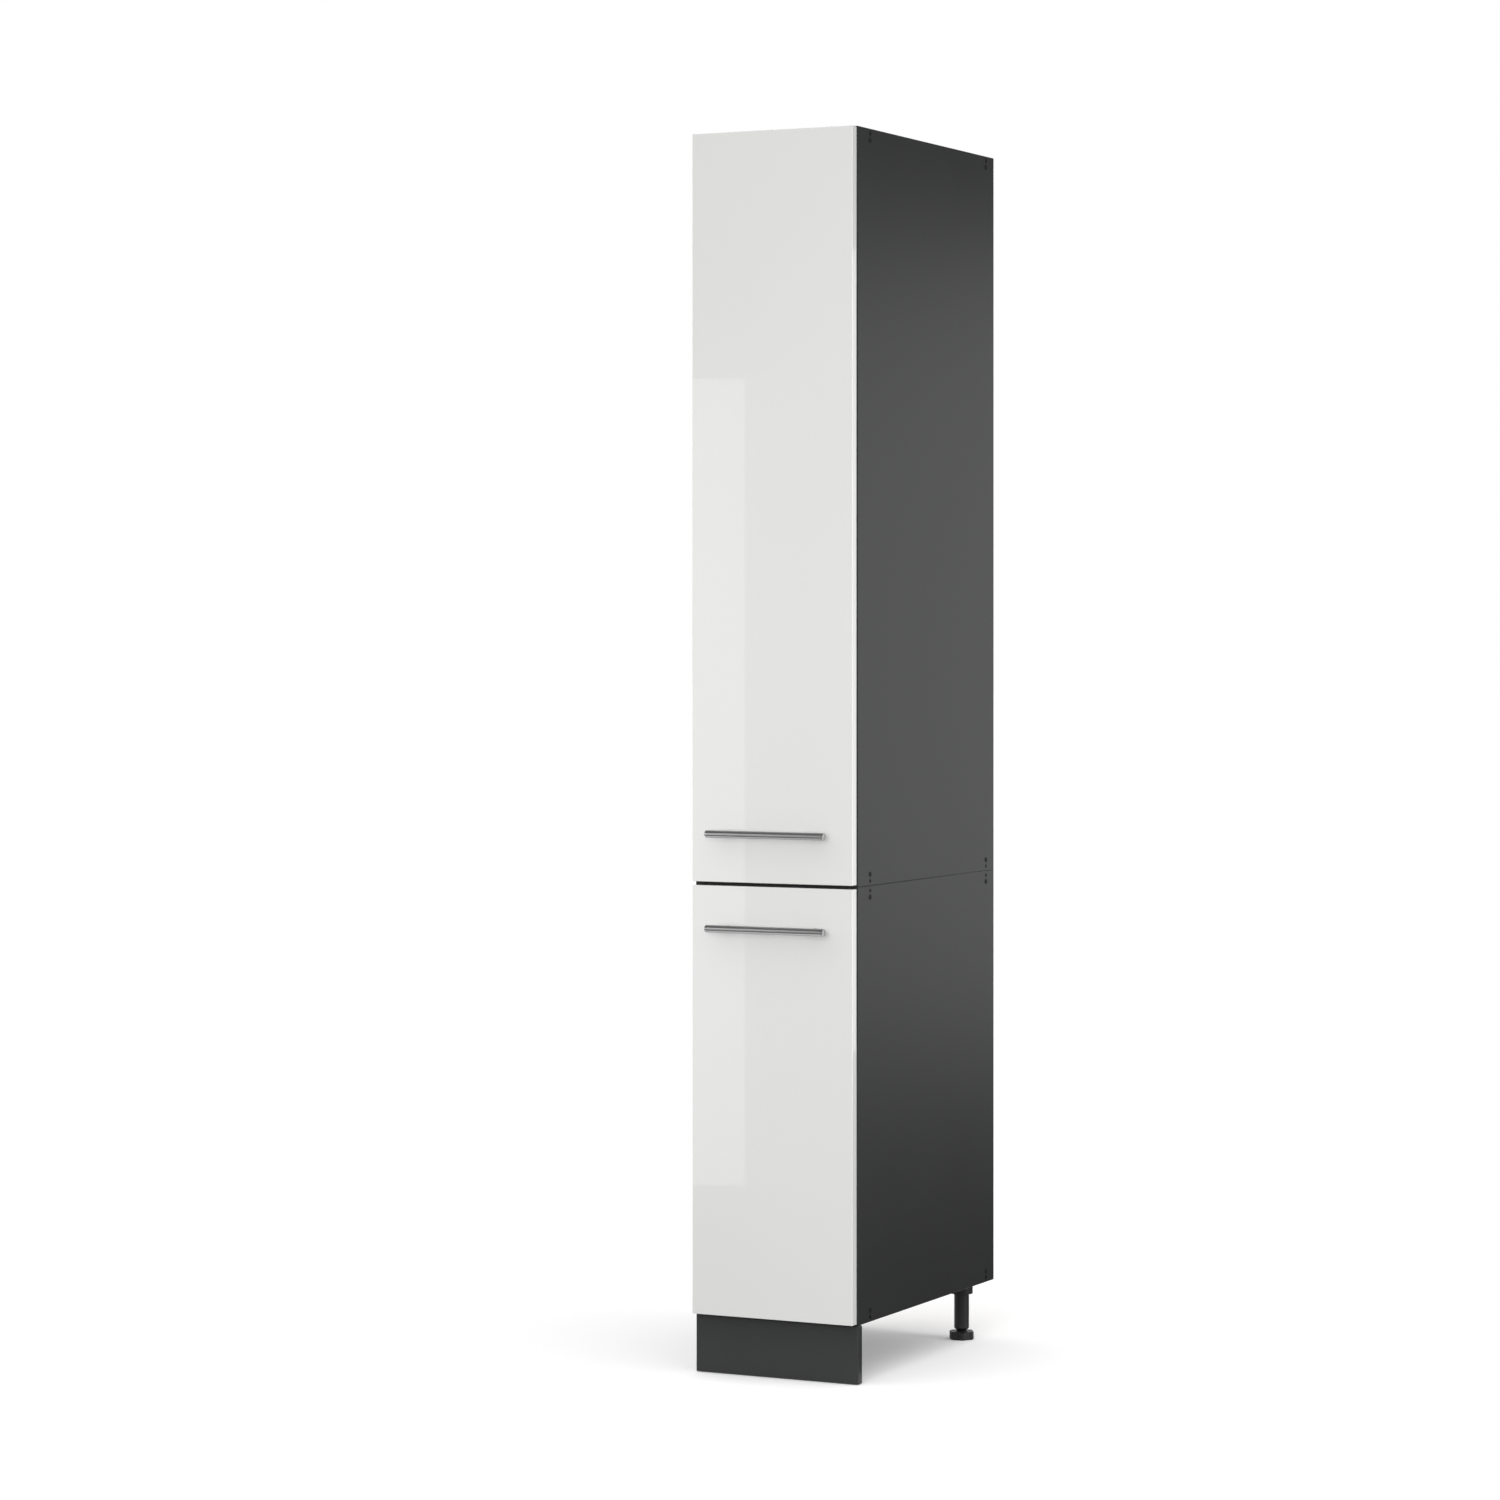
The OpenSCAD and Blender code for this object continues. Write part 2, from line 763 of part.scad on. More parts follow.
module inner_runners(u) {
    color(steel) difference() {
        both_sides() in_runner(u) inner_outline();
        at_carrier_screws(u) machine_screw(fit);
    }
}

// Two strips of balls, one over and one under the inner of two members
module ball_cages(u, row_u, row_v, ball_d) {
    places = [for (i = [0:row_balls - 1]) [0, cage_end + i * ball_pitch, 0]];
    color(steel) both_sides() for (v = [-row_v, row_v])
        translate([inner_w / 2 - row_u, cage_front, runner_z(u) + v]) {
            difference() {
                translate([-cage_w / 2, 0, -cage_t / 2]) cube([cage_w, cage_l, cage_t]);
                for (at = places)
                    translate(at) cylinder(d = ball_d + 2 * ball_gap, h = 2 * cage_t, center = true);
            }
            for (at = places) translate(at) sphere(d = ball_d);
        }
}

module outer_cages(u) {
    ball_cages(u, outer_row_u, (outer_v - member_t + middle_v) / 2, outer_ball_d);
}

module inner_cages(u) {
    ball_cages(u, inner_row_u, (middle_v - member_t + inner_v) / 2, inner_ball_d);
}

// ---------------------------------------------------------------- guide

module guide_rails() {
    color(steel) for (u = [LOWER, UPPER]) difference() {
        along_y(guide_front, guide_l) difference() {
            translate([-guide_w / 2, ceiling_z(u) - guide_h]) square([guide_w, guide_h]);
            translate([-guide_w / 2 + guide_wall, ceiling_z(u) - guide_h - over])
                square([guide_w - 2 * guide_wall, guide_h - guide_wall + over]);
        }
        at_guide_screws(u) wood_screw(fit);
    }
}

module guide_shoe(u) {
    shoe_w = guide_w - 2 * guide_wall - 2 * slide_gap;
    shoe_z1 = ceiling_z(u) - guide_wall - shoe_top_gap;
    plug_w = tube_w - 2 * tube_wall - 2 * plug_gap;
    plug_l = tube_d - 2 * tube_wall - 2 * plug_gap;
    yc = frame_y1 - tube_d / 2;
    color(gloss_white) {
        block([-shoe_w / 2, frame_y1 - tube_d, upright_z1(u)], [shoe_w / 2, frame_y1, shoe_z1]);
        block([-plug_w / 2, yc - plug_l / 2, upright_z1(u) - shoe_plug_h],
            [plug_w / 2, yc + plug_l / 2, upright_z1(u)]);
    }
}

// ---------------------------------------------------------------- doors and handles

// Section of a door from its low to its high edge, with the front corners rounded
module door_outline(low, high) {
    r = door_round;
    polygon([
        [low, 0], [high, 0],
        for (a = [0:15:90]) [high - r + r * cos(a), r - door_t - r * sin(a)],
        for (a = [90:15:180]) [low + r + r * cos(a), r - door_t - r * sin(a)]
    ]);
}

module at_handle_screws(u) {
    for (x = [-post_pitch / 2, post_pitch / 2])
        translate([x, door_back_y, handle_z(u)]) rotate([90, 0, 0]) children();
}

module handle_screw(wider = 0) {
    screw(handle_screw_d, door_t + handle_screw_in, wider);
}

module door(u) {
    color(gloss_white) difference() {
        translate([0, door_back_y, 0]) intersection() {
            translate([0, 0, door_z0(u)]) linear_extrude(door_z1(u) - door_z0(u))
                door_outline(-door_w / 2, door_w / 2);
            translate([-door_w / 2, 0, 0]) rotate([90, 0, 90]) linear_extrude(door_w)
                mirror([1, -1]) door_outline(door_z0(u), door_z1(u));
        }
        at_handle_screws(u) handle_screw(fit);
        at_bracket_fixings(u) wood_screw(fit);
    }
}

module handle(u) {
    r = bar_d / 2;
    half = bar_l / 2;
    color(silver) difference() {
        union() {
            translate([0, bar_y, handle_z(u)]) rotate([0, 90, 0]) rotate_extrude() polygon([
                [0, -half], [r - bar_chamfer, -half], [r, -half + bar_chamfer],
                [r, -half + groove_in], [r - groove_cut, -half + groove_in],
                [r - groove_cut, -half + groove_in + groove_w], [r, -half + groove_in + groove_w],
                [r, half - groove_in - groove_w], [r - groove_cut, half - groove_in - groove_w],
                [r - groove_cut, half - groove_in], [r, half - groove_in],
                [r, half - bar_chamfer], [r - bar_chamfer, half], [0, half]
            ]);
            for (x = [-post_pitch / 2, post_pitch / 2])
                translate([x, door_face_y, handle_z(u)]) rotate([90, 0, 0])
                    cylinder(d = post_d, h = handle_standoff + r);
        }
        at_handle_screws(u) handle_screw(fit);
    }
}

// ---------------------------------------------------------------- frame

// Wood screws through the brackets into the door
module at_bracket_fixings(u) {
    for (i = [0:brackets_in[u] - 1], x = [-bracket_screw_x, bracket_screw_x])
        translate([x, frame_y0, bracket_z(u, i)]) rotate([90, 0, 0]) children();
}

// Machine screws through the brackets into the front upright, their heads sunk in the bracket
module at_bracket_bolts(u) {
    for (i = [0:brackets_in[u] - 1], side = [-1, 1])
        translate([0, door_back_y + screw_head_t, bracket_z(u, i) + side * bracket_h / 4])
            rotate([-90, 0, 0]) children();
}

module door_brackets(u) {
    color(steel) difference() {
        for (i = [0:brackets_in[u] - 1])
            block([-bracket_w / 2, door_back_y, bracket_z(u, i) - bracket_h / 2],
                [bracket_w / 2, frame_y0, bracket_z(u, i) + bracket_h / 2]);
        at_bracket_fixings(u) wood_screw(fit);
        at_bracket_bolts(u) machine_screw(fit);
    }
}

// Slots for one basket's hooks, in the side of an upright that lies on y = 0
module hook_slots(u, i) {
    for (x = [-hook_x, hook_x])
        translate([x - hook_w / 2 - plug_gap, -tube_wall - over, basket_z(u, i) + basket_h - hook_z])
            cube([hook_w + 2 * plug_gap, tube_wall + 2 * over, slot_h]);
}

module tube_upright(u) {
    z0 = upright_z0(u);
    z1 = upright_z1(u);
    difference() {
        block([-tube_w / 2, -tube_d, z0], [tube_w / 2, 0, z1]);
        block([-tube_w / 2 + tube_wall, -tube_d + tube_wall, z0 - over],
            [tube_w / 2 - tube_wall, -tube_wall, z1 + over]);
        for (i = [0:baskets_in[u] - 1]) hook_slots(u, i);
    }
}

module front_upright(u) {
    color(silver) difference() {
        translate([0, frame_y0 + tube_d, 0]) tube_upright(u);
        at_bracket_bolts(u) machine_screw(fit);
    }
}

module rear_upright(u) {
    color(silver) translate([0, frame_y1 - tube_d, 0]) mirror([0, 1, 0]) tube_upright(u);
}

module top_beam(u) {
    z0 = beam_z(u);
    z1 = upright_z1(u);
    w = tube_d;
    color(silver) difference() {
        block([-w / 2, basket_y0, z0], [w / 2, basket_y0 + basket_l, z1]);
        block([-w / 2 + tube_wall, basket_y0 - over, z0 + tube_wall],
            [w / 2 - tube_wall, basket_y0 + basket_l + over, z1 - tube_wall]);
    }
}

module at_carrier_screws(u) {
    for (s = [-1, 1], y = runner_screws)
        translate([s * (carrier_w / 2 - carrier_t), runner_front + y, runner_z(u)]) facing_out(s) children();
}

module carrier(u) {
    z0 = carrier_z(u);
    half = carrier_w / 2;
    color(silver) difference() {
        block([-half, frame_y0, z0], [half, frame_y1, z0 + carrier_flange]);
        block([-half + carrier_t, frame_y0 - over, z0 + carrier_t],
            [half - carrier_t, frame_y1 + over, z0 + carrier_flange + over]);
        at_carrier_screws(u) machine_screw(fit);
    }
}

module fixings(u) {
    color(steel) {
        at_handle_screws(u) handle_screw();
        at_bracket_fixings(u) wood_screw();
        at_bracket_bolts(u) machine_screw();
        at_carrier_screws(u) machine_screw();
    }
}

// ---------------------------------------------------------------- baskets

// A quarter bend of wire from +X round to +Y, about the origin
module bend(r, d) {
    rotate_extrude(angle = 90) translate([r, 0]) circle(d = d);
}

// A level wire hoop, w by l between its centre lines
module hoop(w, l, d, r) {
    for (mx = [0, 1], my = [0, 1]) mirror([mx, 0, 0]) mirror([0, my, 0])
        translate([w / 2 - r, l / 2 - r, 0]) bend(r, d);
    for (s = [-1, 1]) {
        translate([s * w / 2, 0, 0]) rotate([90, 0, 0]) cylinder(d = d, h = l - 2 * r, center = true);
        translate([0, s * l / 2, 0]) rotate([0, 90, 0]) cylinder(d = d, h = w - 2 * r, center = true);
    }
}

// A wire bent into a U: w between its legs, which rise from z0 to z1
module u_wire(w, z0, z1, d, r) {
    translate([0, 0, z0]) rotate([0, 90, 0]) cylinder(d = d, h = w - 2 * r, center = true);
    for (m = [0, 1]) mirror([m, 0, 0]) {
        translate([w / 2, 0, z0 + r]) cylinder(d = d, h = z1 - z0 - r);
        translate([w / 2 - r, 0, z0 + r]) rotate([-90, 0, 0]) bend(r, d);
    }
}

module basket_hooks() {
    reach_in = tube_wall + hook_gap + tongue_t;
    for (x = [-hook_x, hook_x]) {
        translate([x - hook_w / 2, -reach_in, basket_h - hook_z])
            cube([hook_w, reach_in + plate_t / 2, hook_h]);
        translate([x - hook_w / 2, -reach_in, basket_h - hook_z - hook_drop])
            cube([hook_w, tongue_t, hook_drop + hook_h]);
    }
}

module basket(u, i) {
    wires_l = basket_l - 2 * plate_t + 2 * weld;
    leg_z1 = basket_h - rim_d / 2;
    cross_pitch = (basket_l - 2 * leg_y - 2 * mesh_inset) / (cross_wires - 1);
    long_pitch = (2 * leg_x - 2 * mesh_inset) / (long_wires - 1);
    color(chrome) translate([0, basket_y0, basket_z(u, i)]) {
        translate([0, basket_l / 2, leg_z1])
            hoop(basket_w - rim_d, wires_l - rim_d, rim_d, rim_r);
        for (z = [low_hoop_z, (low_hoop_z + basket_h - rim_d) / 2])
            translate([0, basket_l / 2, z]) hoop(basket_w - hoop_d, wires_l - hoop_d, hoop_d, rim_r);
        for (k = [0:cross_wires - 1])
            translate([0, leg_y + mesh_inset + k * cross_pitch, 0])
                u_wire(2 * leg_x, cross_z, leg_z1, wire_d, bend_r);
        for (k = [0:long_wires - 1])
            translate([-leg_x + mesh_inset + k * long_pitch, basket_l / 2, 0]) rotate(90)
                u_wire(basket_l - 2 * leg_y, wire_d / 2, leg_z1, wire_d, bend_r);
        for (m = [0, 1]) translate([0, m * basket_l, 0]) mirror([0, m, 0]) {
            translate([-plate_w / 2, 0, basket_h - plate_h]) cube([plate_w, plate_t, plate_h]);
            basket_hooks();
        }
    }
}

// ---------------------------------------------------------------- the unit

placed() side_board(LOWER, -1);  // lower_side_left
placed() side_board(LOWER, 1);  // lower_side_right
placed() bottom_board(LOWER);  // lower_bottom
placed() top_board(LOWER);  // lower_top
placed() back_panel(LOWER);  // lower_back
placed() side_board(UPPER, -1);  // upper_side_left
placed() side_board(UPPER, 1);  // upper_side_right
placed() bottom_board(UPPER);  // upper_bottom
placed() top_board(UPPER);  // upper_top
placed() back_panel(UPPER);  // upper_back
placed() dowels();
placed() carcass_screws();
placed() hole_caps();
placed() stack_bolts();
placed() door_bumpers();
placed() plinth();
placed() plinth_clips();
placed() foot_sockets();
placed() foot_shanks();
placed() screw_foot(-1, -1);  // foot_front_left
placed() screw_foot(1, -1);  // foot_front_right
placed() screw_foot(-1, 1);  // foot_rear_left
placed() screw_foot(1, 1);  // foot_rear_right
placed() wall_brackets();
placed() wood_screws();
placed() guide_rails();
placed() outer_runners(LOWER);  // lower_outer_runners
placed() outer_runners(UPPER);  // upper_outer_runners
placed() middle_runners(LOWER);  // lower_middle_runners
placed() middle_runners(UPPER);  // upper_middle_runners
placed() outer_cages(LOWER);  // lower_outer_cages
placed() inner_cages(LOWER);  // lower_inner_cages
placed() outer_cages(UPPER);  // upper_outer_cages
placed() inner_cages(UPPER);  // upper_inner_cages
placed() inner_runners(LOWER);  // lower_inner_runners
placed() inner_runners(UPPER);  // upper_inner_runners
placed() door(LOWER);  // lower_door
placed() door(UPPER);  // upper_door
placed() handle(LOWER);  // lower_handle
placed() handle(UPPER);  // upper_handle
placed() door_brackets(LOWER);  // lower_door_brackets
placed() door_brackets(UPPER);  // upper_door_brackets
placed() fixings(LOWER);  // lower_fixings
placed() fixings(UPPER);  // upper_fixings
placed() front_upright(LOWER);  // lower_front_upright
placed() front_upright(UPPER);  // upper_front_upright
placed() rear_upright(LOWER);  // lower_rear_upright
placed() rear_upright(UPPER);  // upper_rear_upright
placed() top_beam(LOWER);  // lower_top_beam
placed() top_beam(UPPER);  // upper_top_beam
placed() carrier(LOWER);  // lower_carrier
placed() carrier(UPPER);  // upper_carrier
placed() guide_shoe(LOWER);  // lower_guide_shoe
placed() guide_shoe(UPPER);  // upper_guide_shoe
placed() basket(LOWER, 0);  // lower_basket_1
placed() basket(LOWER, 1);  // lower_basket_2
placed() basket(UPPER, 0);  // upper_basket_1
placed() basket(UPPER, 1);  // upper_basket_2
placed() basket(UPPER, 2);  // upper_basket_3
placed() basket(UPPER, 3);  // upper_basket_4
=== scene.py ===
"""Finishes a pull-out larder unit: gloss doors, bar handles, boards, runners, frames and wire baskets.

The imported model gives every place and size. The operators below put a finished piece in the place
of each of its nodes, give it its material, and set up the studio.
"""

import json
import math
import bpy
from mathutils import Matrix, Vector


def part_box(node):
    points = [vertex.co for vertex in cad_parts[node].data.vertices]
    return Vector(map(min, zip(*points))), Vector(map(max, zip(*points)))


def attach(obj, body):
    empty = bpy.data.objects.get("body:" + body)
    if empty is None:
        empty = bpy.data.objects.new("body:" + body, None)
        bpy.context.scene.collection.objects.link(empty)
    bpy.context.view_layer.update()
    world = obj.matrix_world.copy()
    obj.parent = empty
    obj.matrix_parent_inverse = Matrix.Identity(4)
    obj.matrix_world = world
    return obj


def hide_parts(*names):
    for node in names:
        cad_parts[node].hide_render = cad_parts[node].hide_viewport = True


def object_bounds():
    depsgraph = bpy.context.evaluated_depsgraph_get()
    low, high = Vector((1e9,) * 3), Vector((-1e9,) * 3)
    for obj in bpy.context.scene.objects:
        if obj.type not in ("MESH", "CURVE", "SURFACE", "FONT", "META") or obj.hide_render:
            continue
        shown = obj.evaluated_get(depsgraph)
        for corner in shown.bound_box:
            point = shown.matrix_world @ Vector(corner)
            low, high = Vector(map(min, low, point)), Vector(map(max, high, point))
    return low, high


bl_info = {
    "name": "Pull-out Larder Unit",
    "version": (1, 0, 0),
    "blender": (4, 5, 0),
    "location": "View3D > Sidebar > Larder",
    "description": "Finishes the pieces of a pull-out larder unit and its studio",
    "category": "Object",
}

import bmesh
import bpy
from mathutils import Euler, Matrix, Vector

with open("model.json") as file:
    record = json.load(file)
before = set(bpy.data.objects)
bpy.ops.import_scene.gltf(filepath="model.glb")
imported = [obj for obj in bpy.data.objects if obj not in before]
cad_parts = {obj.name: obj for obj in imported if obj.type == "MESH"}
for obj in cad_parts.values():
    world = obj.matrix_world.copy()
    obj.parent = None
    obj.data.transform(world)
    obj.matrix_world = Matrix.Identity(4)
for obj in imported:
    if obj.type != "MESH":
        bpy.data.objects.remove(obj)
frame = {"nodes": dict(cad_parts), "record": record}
CAD_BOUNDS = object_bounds()
RECORD = frame["record"]
BODY_OF = {node: body for body, nodes in RECORD["behaviour"]["bodies"].items() for node in nodes}
SLOT_OF = {part["node"]: part["material_slot"] for part in RECORD["subparts"]}
MM = 0.001
MERGE = 0.001 * MM  # points this close are one point
NEAR = 0.01 * MM  # places this close are the same place
X, Y, Z = Vector((1, 0, 0)), Vector((0, 1, 0)), Vector((0, 0, 1))
QUARTER = math.pi / 2
FULL_TURN = 2 * math.pi


def nodes_like(*endings):
    """The names of the nodes that end so, in order"""
    return sorted(node for node in frame["nodes"] if node.endswith(endings))


# ---------------------------------------------------------------- properties


def length(name, description, default):
    """A length in metres, shown with its unit"""
    return bpy.props.FloatProperty(
        name=name, description=description, default=default, min=0, unit="LENGTH", precision=4
    )


def colour(name, description, default):
    """A linear colour"""
    return bpy.props.FloatVectorProperty(
        name=name, description=description, default=default, size=3, min=0, max=1, subtype="COLOR"
    )


def point(name, description, default):
    """A point in metres"""
    return bpy.props.FloatVectorProperty(
        name=name, description=description, default=default, size=3, unit="LENGTH", precision=4
    )


def strength(name, description, default):
    """A strength of light, where 1 is white"""
    return bpy.props.FloatProperty(name=name, description=description, default=default, min=0)


def share(name, description, default):
    """A number from 0 to 1"""
    return bpy.props.FloatProperty(
        name=name, description=description, default=default, min=0, max=1, subtype="FACTOR"
    )


class LARDER_PG_shapes(bpy.types.PropertyGroup):
    """Sizes of the finer shapes"""

    door_round: length("Door rounding", "Radius of the lacquered edges of the doors", 1.2 * MM)
    door_back_round: length("Door back rounding", "Radius of the rear edges of the doors", 0.3 * MM)
    board_round: length("Board rounding", "Radius of the banded edges of the boards", 0.8 * MM)
    tube_round: length("Tube rounding", "Radius of the edges of the steel tubes", 1.2 * MM)
    sheet_round: length("Sheet rounding", "Radius of the edges of the steel sheets", 0.25 * MM)
    moulded_round: length("Moulded rounding", "Radius of the edges of the plastic pieces", 0.6 * MM)
    bar_round: length("Bar rounding", "Radius of the edges of the handle's bar", 0.4 * MM)
    groove_in: length("Groove place", "End of the bar to its groove", 4 * MM)
    groove_width: length("Groove width", "Width of the groove round the bar", 1.2 * MM)
    groove_depth: length("Groove depth", "Depth of the groove round the bar", 0.7 * MM)
    post_round: length("Post", "Radius of a handle's post", 3.5 * MM)
    post_side: length("Post place", "Middle of the bar to a post", 80 * MM)
    post_foot: length("Post foot", "Radius of the fillet at the foot of a post", 1.2 * MM)
    rim_wire: length("Rim wire", "Diameter of the basket's rim", 6 * MM)
    hoop_wire: length("Hoop wire", "Diameter of the hoops round a basket", 4 * MM)
    mesh_wire: length("Mesh wire", "Diameter of the basket's mesh wires", 3 * MM)
    wire_weld: length("Wire weld", "How deep welded wires run into each other", 0.8 * MM)
    hoop_corner: length("Hoop corner", "Radius of the basket's corners", 14 * MM)
    mesh_corner: length("Mesh corner", "Radius of the bends of the mesh wires", 8 * MM)
    mesh_inset: length("Mesh inset", "First mesh wire to the basket's side", 26 * MM)
    low_hoop: length("Low hoop", "Middle of the lowest hoop above the basket's underside", 16 * MM)
    cross_lift: length("Cross lift", "Middle of the cross wires above the basket's underside", 3.7 * MM)
    cross_pitch: length("Cross pitch", "Distance between the cross wires, at most", 27 * MM)
    long_pitch: length("Long pitch", "Distance between the long wires, at most", 22 * MM)
    plate: length("End plate", "Thickness of the plate at a basket's end", 2 * MM)
    plate_wide: length("End plate width", "Width of the plate", 26 * MM)
    plate_tall: length("End plate height", "Height of the plate", 72 * MM)
    hook_side: length("Hook place", "Middle of the basket to a hook", 7 * MM)
    hook_thick: length("Hook thickness", "Thickness of a hook", 3 * MM)
    hook_reach: length("Hook reach", "How far a hook stands out of its plate", 4.3 * MM)
    hook_down: length("Hook top", "Top of the basket to the top of a hook", 42 * MM)
    hook_arm: length("Hook arm", "Height of a hook's arm", 8 * MM)
    hook_drop: length("Hook drop", "Height of a hook's tongue", 14 * MM)
    hook_tongue: length("Hook tongue", "Thickness of a hook's tongue", 2.5 * MM)
    hook_round: length("Hook rounding", "Radius of the edges of plates and hooks", 0.35 * MM)


class LARDER_PG_finishes(bpy.types.PropertyGroup):
    """Colours and gloss of the materials"""

    lacquer: colour("Lacquer", "White of the gloss doors", (0.775, 0.775, 0.765))
    melamine: colour("Melamine", "Anthracite of the boards", (0.0258, 0.0274, 0.0265))
    # The plinth is the same melamine as the boards; this lighter colour is painted light on its recessed,
    # shaded face
    plinth: colour("Plinth", "Anthracite of the plinth", (0.0350, 0.0370, 0.0360))
    chipboard: colour("Chipboard", "Raw edges of the boards", (0.42, 0.30, 0.18))
    hardboard: colour("Hardboard", "Rear of the back panels", (0.22, 0.13, 0.075))
    stainless: colour("Stainless steel", "Brushed steel of the handles", (0.58, 0.58, 0.58))
    chrome: colour("Chrome", "Wires of the baskets", (0.78, 0.79, 0.81))
    zinc: colour("Zinc", "Plating of the runners, brackets and screws", (0.60, 0.61, 0.62))
    powder: colour("Powder coat", "Silver of the frames", (0.40, 0.41, 0.42))
    moulding: colour("Moulding", "Black of the feet and caps", (0.012, 0.012, 0.013))
    nylon: colour("Nylon", "White of the guide shoes", (0.72, 0.72, 0.69))
    silicone: colour("Silicone", "Clear bumpers", (0.70, 0.72, 0.73))
    beech: colour("Beech", "Wood of the dowels", (0.52, 0.34, 0.18))
    oxide: colour("Black oxide", "Coat of the carcass screws", (0.02, 0.02, 0.021))


class LARDER_PG_studio(bpy.types.PropertyGroup):
    """Camera, lamps and floor"""

    camera_place: point("Camera place", "Where the camera stands", (3.1762, -6.6065, 1.2574))
    camera_turn: bpy.props.FloatProperty(
        name="Camera turn", description="Turn of the level camera to the left",
        default=math.radians(25.934), unit="ROTATION", precision=4,
    )
    focal_pixels: bpy.props.FloatProperty(
        name="Focal length in pixels", description="Focal length in the picture's pixels", default=4288.1
    )
    picture_side: bpy.props.FloatProperty(
        name="Picture side", description="Width and height of the picture in pixels", default=1500
    )
    axis_column: bpy.props.FloatProperty(
        name="Axis column", description="Pixel column that the camera points at", default=823.1
    )
    horizon_row: bpy.props.FloatProperty(
        name="Horizon row", description="Pixel row of the horizon", default=619.6
    )
    low_light: strength("Low light", "Light from the horizon all round", 0.42)
    high_light: strength("High light", "Light that is added overhead", 0.80)
    front_light: strength("Front light", "Light that is added from the front", 0.40)
    surround: strength("Surround", "Grey of the studio that the metal mirrors", 0.12)
    side_flag: strength("Side flags", "Grey of the screens that the right side mirrors", 0.02)
    key_place: point("Key place", "Middle of the soft box in front", (0.75, -3.0, 1.25))
    key_side: length("Key size", "Width and height of the soft box in front", 1.2)
    key_light: strength("Key light", "Radiance of the soft box in front", 6.8)
    card_edge: point("Card edge", "Foot of the card's near edge", (-1.047, -2.229, 0.03))
    card_turn: bpy.props.FloatProperty(
        name="Card turn", description="Turn of the card to the left",
        default=math.radians(-26.975), unit="ROTATION", precision=4,
    )
    card_wide: length("Card width", "Width of the card", 0.6)
    card_tall: length("Card height", "Height of the card", 1.75)
    card_light: strength("Card light", "Radiance of the card that the doors mirror", 1.15)
    side_place: point("Side place", "Middle of the soft box at the right", (3.2, 0.3, 1.1))
    side_wide: length("Side width", "Width of the soft box at the right", 1.2)
    side_tall: length("Side height", "Height of the soft box at the right", 2.2)
    side_light: strength("Side light", "Radiance of the soft box at the right", 4.5)
    floor_tone: share("Floor tone", "Reflectance of the floor, as it lights the unit", 0.30)
    floor_white: share("Floor white", "Reflectance of the floor, as the camera sees it", 0.865)
    floor_lift: share("Floor lift", "White that the floor keeps in the deepest shadow", 0.165)


# ---------------------------------------------------------------- shader expressions


class Shade:
    """A shader socket that can be used in Python expressions"""

    def __init__(self, recipe, socket):
        self.recipe = recipe
        self.socket = socket

    def math(self, operation, *values):
        return self.recipe.node("Math", {"operation": operation}, dict(enumerate(values)))

    def __add__(self, other):
        return self.math("ADD", self, other)

    def __sub__(self, other):
        return self.math("SUBTRACT", self, other)

    def __rsub__(self, other):
        return self.math("SUBTRACT", other, self)

    def __mul__(self, other):
        return self.math("MULTIPLY", self, other)

    def __pow__(self, other):
        return self.math("POWER", self, other)

    def __gt__(self, other):
        return self.math("GREATER_THAN", self, other)

    def __lt__(self, other):
        return self.math("LESS_THAN", self, other)

    def __or__(self, other):
        return self.math("MAXIMUM", self, other)

    def __and__(self, other):
        return self.math("MINIMUM", self, other)

    __radd__ = __add__
    __rmul__ = __mul__


